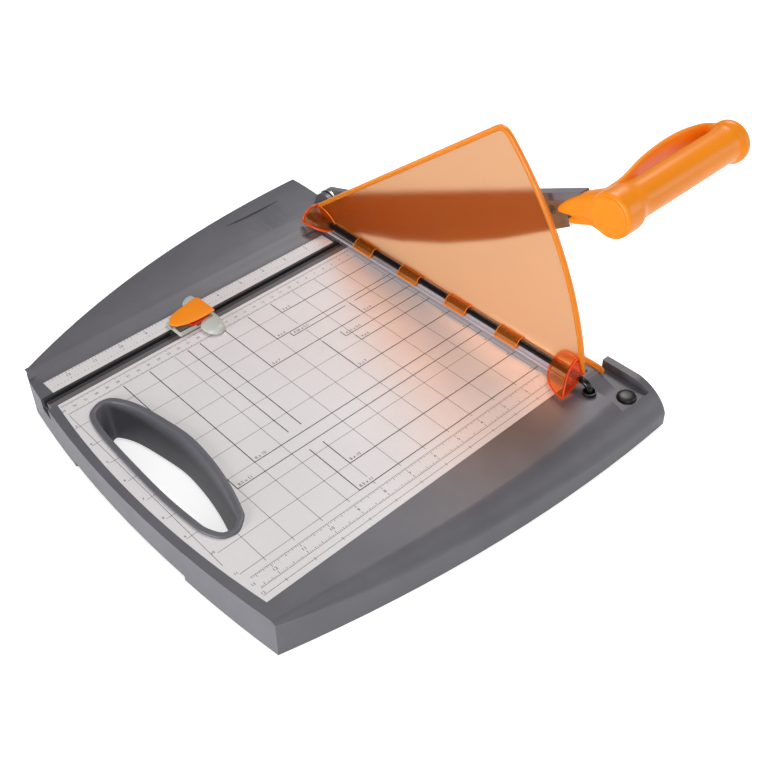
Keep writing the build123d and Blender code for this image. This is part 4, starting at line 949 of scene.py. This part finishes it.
def build_guard():
    """The guard: a thin frosted sheet, and a thicker rolled rim of boxy section round its free edges, whose
    brighter orange is partly painted glow.
    """
    edge = guard_edge()
    run = unit_rows(np.gradient(edge, axis=0))
    side = np.stack((-run[:, 1], run[:, 0]), axis=-1)
    loop = np.concatenate((edge + side * SHEET_INSET, SHEET_FOOT))
    sheet = np.array([points_at(x, *loop.T) for x in (GUARD_X - SHEET_HALF, GUARD_X + SHEET_HALF)])
    made = piece("guard_sheet", sheet, tube_faces(sheet), "guard_orange", "clamp", crease=30)
    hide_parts("guard_shield")
    turn = full_turn(28)
    thick = RIM_HALF[0] * boxy(np.cos(turn), 0.7)
    deep = RIM_HALF[1] * (1 + boxy(np.sin(turn), 0.7))
    flat = edge[:, None] + side[:, None] * deep[None, :, None]
    rim = points_at(GUARD_X + thick, flat[:, :, 0], flat[:, :, 1])
    beads("guard_rim", (rim,), "guard_edge", "clamp", "guard_orange")


def build_knuckles():
    """Knuckles round the rod, each a collar with a tab towards the sheet and a toe, and the bright lines
    along the guard's foot and the knuckles' edges, which are painted glow. The reach swells at tab and toe
    as a bell curve."""
    turn = full_turn(28)
    tab = np.angle(np.exp(1j * (turn - KNUCKLE_TAB[0]))) / KNUCKLE_TAB[2]
    toe = (turn - KNUCKLE_TOE[0]) / KNUCKLE_TOE[2]
    reach = KNUCKLE_REACH + KNUCKLE_TAB[1] * np.exp(-tab ** 2) + KNUCKLE_TOE[1] * np.exp(-toe ** 2)
    around = np.stack((np.cos(turn), np.sin(turn)), axis=-1)
    outer = reach[:, None] * around
    inner = KNUCKLE_BORE * around
    rim = np.concatenate((outer, outer[:1])) + ROD
    toe_bar = outer[np.argmin(np.abs(turn - TOE_BAR_TURN))] + ROD
    x, z, start, end, radius = FOOT_BEAD
    lines = [bead_rings(points_at(x, np.linspace(start, end, 120), z), radius, (1, 0, 0), 12)]
    collars = []
    first, pitch, number, length = KNUCKLE_ROW
    (far, far_share), (near, near_share) = KNUCKLE_ENDS
    for start in first - pitch * np.arange(number):
        end = start - length
        span = (start - LINE_INSET, end + LINE_INSET)
        lines += [bead_rings(points_at(rim[:, 0], y, rim[:, 1]), RING_LINE, (0, 1, 0), 10) for y in span]
        bar = points_at(toe_bar[0], np.linspace(*span, 24), toe_bar[1])
        lines.append(bead_rings(bar, TOE_LINE, (1, 0, 0), 10))
        bands = ((far_share * outer, start - far), (near_share * outer, start - near),
                 (near_share * outer, end + near), (far_share * outer, end + far),
                 (inner, end + far), (inner, start - far))
        rings = [points_at(line[:, 0] + ROD[0], y, line[:, 1] + ROD[1]) for line, y in bands]
        collars.append(np.array(rings))
    piece("guard_knuckles", *join_rings(collars, ring_faces), "guard_tab", "clamp", "guard_orange", 40)
    # Beads along the guard's foot and the knuckles' edges: painted glow in the bright edge finish
    beads("guard_painted_glow_lines", lines, "guard_edge", "clamp", "guard_orange")


def ear_points(alpha, beta, ear, inset):
    """Points of an eighth of an egg on the guard: alpha turns from its wide end to its tip, beta rises from
    its foot to the guard. The foot lifts towards one end, and the wide end leans back as it rises."""
    end, way, reach, depth, rise, foot, lean, lift_end, lift_tip = ear
    x = EAR_X - (reach - inset) * np.abs(np.cos(alpha)) ** 0.75 * np.cos(beta)
    y = end + way * ((depth - inset) * np.sin(alpha) * np.cos(beta) + lean * np.sin(beta) ** 2)
    lift = (lift_end * np.cos(alpha) ** 2 + lift_tip * np.sin(alpha) ** 2) * np.cos(beta)
    z = foot + (rise - inset) * np.sin(beta) + lift
    return points_at(x, y, z)


def build_ears():
    """The guard's two hollow ears with their edges painted as glowing lines, the front ear's web, and the
    back ear's seam, also painted as a glowing line.
    """
    turn = np.linspace(0, math.pi / 2, EAR_STEPS)
    rise = np.linspace(0, EAR_STOP, EAR_STEPS)
    alpha, beta = np.meshgrid(turn, np.linspace(0, EAR_STOP, 30), indexing="ij")
    style = ("clamp", "guard_orange")
    for name, node, ear, thick in EARS:
        walls = np.array([ear_points(alpha, beta, ear, inset) for inset in (0.0, EAR_WALL)])
        made = piece(name, walls, shell_faces(walls), "guard_ear", *style, 40)
        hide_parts(node)
        arc = ear_points(0 * rise, rise, ear, EAR_WALL / 2)
        foot = ear_points(turn, 0 * turn, ear, EAR_WALL / 2)
        runs = [bead_rings(arc, thick, (0, 1, 0)), bead_rings(foot, thick, (0, 0, 1))]
        if ear is FRONT_EAR:
            chord = smooth_line(EAR_CHORD, EAR_STEPS)
            web = arc[:, None] + np.linspace(0, 1, 12)[None, :, None] * (chord - arc)[:, None]
            walls = np.array((web, web + (0, EAR_WALL, 0)))
            piece("guard_ear_web", walls, shell_faces(walls), "guard_web", *style, 40)
            runs.append(bead_rings(chord + (0, EAR_WALL / 2, 0), CHORD_RADIUS, (0, 1, 0)))
        else:
            inset, shift, radius = SEAM
            # The back ear's seam: a bead painted as a glowing line where the ear meets the sheet
            seam = ear_points(turn[-1] + 0 * rise, rise, ear, inset) + (shift, 0, 0)
            beads("guard_ear_painted_glow_seam", (bead_rings(seam, radius, (1, 0, 0)),), "guard_edge", *style)
        # The ears' edges and the web's lower line: beads of painted glow
        beads(name + "_edge", runs, "guard_glow", *style)


def build_fin():
    """The fin past the blade, of boxy oval sections along y, and the clear round link that carries it."""
    turn = full_turn(32)
    along, top, low = smooth_line(FIN_SECTIONS, 60).T[:, :, None]
    z = (top + low) / 2 + (top - low) / 2 * boxy(np.sin(turn), 0.6)
    fin = points_at(FIN_X + FIN_HALF * boxy(np.cos(turn), 0.6), along, z)
    beads("guard_fin", (fin,), "guard_edge", "clamp", "guard_orange")
    start, end = np.array(LINK_ENDS)
    link = start + np.linspace(0, 1, 24)[:, None] * (end - start)
    beads("guard_fin_link", (bead_rings(link, LINK_RADIUS, (0, 0, 1)),), "strip_clear", "clamp")


def build_slot_rim():
    """The slot's moulded rim: a rolled lip carried round the outline, running down into a drafted wall."""
    rings = rim_rings(closed_outline(SLOT_OUTLINE, 220), RIM_PROFILE)
    made = piece("hand_slot_moulding", rings, ring_faces(rings), "base_grey", "base", crease=60)
    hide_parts("hand_slot_rim")


def build_fence_cove():
    """The smooth foot of the band: a profile that rises from the ruler strip's edge and runs out on the band,
    carried along the fence. Towards each end its height fades to the ledge and step under it."""
    y, top = smooth_line(COVE_PROFILE, 48).T
    band = np.minimum(BAND_STEP[0] + BAND_STEP[1] * y, BAND_TOP[0] + BAND_TOP[1] * y)
    under = np.where(y < 0, 0.0, band) - COVE_SINK
    start, end = COVE_ENDS
    x = np.concatenate((np.linspace(start, start + COVE_FADE, 16), np.linspace(end - COVE_FADE, end, 16)))
    x = x[:, None]
    share = ease(np.clip(np.minimum(x - start, end - x) / COVE_FADE, 0, 1))
    walls = np.array((points_at(x, y, under + share * (top - under)), points_at(x, y, under - COVE_THICK)))
    piece("fence_cove", walls, shell_faces(walls), "base_grey", "base", crease=40)


def build_pocket_ramp():
    """The pocket's sloping end: an S-shaped line from the deck down to the floor, drawn out across it."""
    share = np.linspace(0, 1, 40)
    y = RAMP_RUN[0] + share * (RAMP_RUN[1] - RAMP_RUN[0])
    z = RAMP_LEVELS[0] + ease(share) * (RAMP_LEVELS[1] - RAMP_LEVELS[0])
    x = np.array(RAMP_SIDES)[:, None]
    walls = np.array((points_at(x, y, z), points_at(x, y, RAMP_UNDER)))
    piece("pocket_ramp", walls, shell_faces(walls), "base_grey", "base", crease=40)


def build_strip_edges():
    """Painted highlights along the hold-down strip's polished bevels: two flat pale bars drawn along it."""
    low, high = node_box("hold_down_strip")
    levels = [(share, high[2] + rise) for share, rise in HIGHLIGHT_LEVELS]
    for name, left, right in STRIP_HIGHLIGHTS:
        line = rounded_box(low[0] + left, low[0] + right, low[1] + HIGHLIGHT_SHORT, high[1] - HIGHLIGHT_SHORT, 0.3)
        middle = low[0] + (left + right) / 2
        spine = ((middle, low[1] + 2 * HIGHLIGHT_SHORT), (middle, high[1] - 2 * HIGHLIGHT_SHORT))
        pad(name, line, spine, levels, "strip_painted_highlight", "clamp", "strip_clear")


def build_springs():
    """The three coil springs: a wire carried up a helix. Each keeps its full height here; it is not shortened
    as what it carries comes down.
    """
    for name, node, body, joint, place, radius, wire, turns, low, high, keep in COILS:
        turn = np.linspace(0, 2 * math.pi * turns, 24 * turns)
        z = np.linspace(low + wire, high - wire, len(turn))
        helix = points_at(place[0] + radius * np.cos(turn), place[1] + radius * np.sin(turn), z)
        made = beads(name, (bead_rings(helix, wire, (0, 0, 1), 10),), "spring_steel", body)
        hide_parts(node)
        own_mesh(made)


def build_bumper():
    """The rubber stop: a domed button turned about its upright axis."""
    low, high = node_box("bumper")
    x, y, _ = (low + high) / 2
    profile = [(0.02, low[2]), (1.0, low[2])] + [(share, high[2] - fall) for share, fall in BUMPER_DOME]
    share, z = np.array(profile).T[:, :, None]
    r = share * BUMPER_WIDTH * (high[0] - low[0]) / 2
    turn = full_turn(56)
    rings = points_at(x + r * np.cos(turn), y + r * np.sin(turn), z)
    made = piece("bumper_button", rings, tube_faces(rings), "black_rubber", "base", crease=50)
    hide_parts("bumper")


def bars(name, strips, ink):
    """Flat printed rectangles (x0, x1, y0, y1) as one piece of separate quads."""
    s = np.asarray(strips, float)
    points = points_at(s[:, (0, 1, 1, 0)], s[:, (2, 2, 3, 3)], PRINT_LEVEL)
    piece(name, points, np.arange(len(s) * 4).reshape(-1, 4).tolist(), ink, "base", "mat_pale")


def across(v, u0, u1, width):
    """A printed line along x at v inches from the fence, between two distances from the cut line."""
    return (-u1 * INCH, -u0 * INCH, -v * INCH - width / 2, -v * INCH + width / 2)


def down(u, v0, v1, width):
    """A printed line along y at u inches from the cut line."""
    return (-u * INCH - width / 2, -u * INCH + width / 2, -v1 * INCH, -v0 * INCH)


def lettering(name, words):
    """Small printed words: each is a text outline turned to a mesh and laid flat at its place."""
    points, faces, count = [], [], 0
    for text, x, y, size, align in words:
        curve = bpy.data.curves.new("word", "FONT")
        curve.body = text
        curve.size = size
        curve.align_x = align
        curve.align_y = "CENTER"
        curve.resolution_u = 3
        holder = bpy.data.objects.new("word", curve)
        bpy.context.scene.collection.objects.link(holder)
        bpy.context.view_layer.update()
        mesh = bpy.data.meshes.new_from_object(holder)
        flat = np.empty(len(mesh.vertices) * 3)
        mesh.vertices.foreach_get("co", flat)
        flat = flat.reshape(-1, 3)
        points.append(flat * (1, 1, 0) + (x, y, PRINT_LEVEL))
        faces += [[v + count for v in p.vertices] for p in mesh.polygons]
        count += len(flat)
        bpy.data.objects.remove(holder)
    piece(name, np.concatenate(points), faces, "ink_dark", "base", "mat_pale")


def off_slot(strips):
    """Printed strips with the part that would cross the hand slot taken out."""
    line = closed_outline(SLOT_OUTLINE, 400)
    following = np.roll(line, -1, axis=0)
    kept = []
    for x0, x1, y0, y1 in strips:
        level = (x1 - x0) > (y1 - y0)
        i, j = (0, 1) if level else (1, 0)
        at = (y0 + y1) / 2 if level else (x0 + x1) / 2
        hit = (line[:, j] - at) * (following[:, j] - at) <= 0
        if hit.sum() < 2:
            kept.append((x0, x1, y0, y1))
            continue
        low, high = line[hit, i].min(), line[hit, i].max()
        start, end = (x0, x1) if level else (y0, y1)
        for a, b in ((start, min(end, low)), (max(start, high), end)):
            if b - a > 0.5:
                kept.append((a, b, y0, y1) if level else (x0, x1, a, b))
    return kept


def scale_marks(places, lengths, scale, front_share=1.0):
    """Two facing rows of scale marks: at each place a short line leaves the back line towards the front one,
    and one leaves the front line towards the back."""
    back, front, width, _ = scale
    marks = []
    for y, ends in ((back, back - lengths), (front, front + front_share * lengths)):
        low, high = np.minimum(y, ends), np.maximum(y, ends)
        marks += np.stack((places - width / 2, places + width / 2, low, high), axis=-1).tolist()
    return marks


def scale_rules(scale, ends):
    """The two fine lines that a scale's marks stand on."""
    return [(*ends, y - RULE_HALF, y + RULE_HALF) for y in scale[:2]]


def scale_numbers(scale, step, numbers, size):
    """A scale's numbers, one at each step."""
    return [(str(n), -step * n, scale[3], size, "CENTER") for n in numbers]


def inch_lengths(steps, parts):
    """Length of each mark of an inch scale: inches longest, then halves, quarters, eighths and the rest."""
    lengths = np.full(len(steps), 1.0)
    for share, length in ((parts // 8, 1.3), (parts // 4, 1.8), (parts // 2, 2.4), (parts, 3.0)):
        lengths[steps % share == 0] = length
    return lengths


def build_grid_print():
    """The mat's pale inch grid and the dark corner marks of paper sizes; gives the sizes' words."""
    pale = [down(u, v0, v1, PALE_LINE) for u, runs in GRID_DOWN for v0, v1 in runs]
    right, left, upper_left = GRID_ENDS
    pale += [across(v, right, upper_left if v < 10 else left, PALE_LINE) for v in range(3, 12)]
    pale.append(across(12, *LAST_ROW, PALE_LINE))
    pale += [down(u, *LAST_MARKS, PALE_LINE) for u in range(2, 13)]
    dark, words = [], []
    for label, u, v, downs, acrosses in SIZE_MARKS:
        dark += [down(u, v0, v1, DARK_LINE) for v0, v1 in downs]
        dark += [across(v, u0, u1, DARK_LINE) for u0, u1 in acrosses]
        words.append((label, -u * INCH + WORD_SHIFT[0], -v * INCH + WORD_SHIFT[1], SIZE_TYPE, "LEFT"))
    bars("mat_grid_print", off_slot(pale), "ink_pale")
    bars("mat_size_print", off_slot(dark), "ink_dark")
    return words


def build_scale_print(words):
    """The scales on mat and ruler with their numbers, and the mat's other words."""
    millimetres = np.arange(25, 330)
    lengths = 1.1 + 0.6 * (millimetres % 5 == 0) + 0.6 * (millimetres % 10 == 0)
    fine = scale_marks(-millimetres, lengths, METRIC_SCALE) + scale_rules(METRIC_SCALE, METRIC_RULE)
    steps = np.arange(18, 16 * 13 - 5)
    fine += scale_marks(-steps * INCH / 16, 1.2 * inch_lengths(steps, 16), INCH_SCALE)
    fine += scale_rules(INCH_SCALE, INCH_RULE)
    bars("mat_scale_print", fine, "ink_fine")
    words += scale_numbers(METRIC_SCALE, 10.0, range(3, 34), TYPE)
    words += scale_numbers(INCH_SCALE, INCH, range(1, 13), SIZE_TYPE)
    words += [(str(n), x, y, TYPE, "CENTER") for n, x, y in ROW_NUMBERS]
    x, lift = RIGHT_NUMBERS
    words += [(str(n), x, -INCH * n + lift, SMALL_TYPE, "CENTER") for n in range(3, 12)]
    lettering("mat_numbers_print", words)
    steps = np.arange(8, 8 * 13 - 2)
    marks = scale_marks(-steps * INCH / 8, inch_lengths(steps, 8), RULER_SCALE, 0.7)
    bars("ruler_scale_print", marks, "ink_fine")
    lettering("ruler_numbers_print", scale_numbers(RULER_SCALE, INCH, range(2, 13), RULER_TYPE))


build_camera()
build_stage()
dress_nodes()
build_handle()
build_press_lever()
build_carriage()
build_box_pads()
build_guard()
build_knuckles()
build_ears()
build_fin()
build_slot_rim()
build_fence_cove()
build_pocket_ramp()
build_strip_edges()
build_springs()
build_bumper()
build_scale_print(build_grid_print())
for node, width in SOFT_EDGES:
    soften(node, width)

bpy.context.view_layer.update()
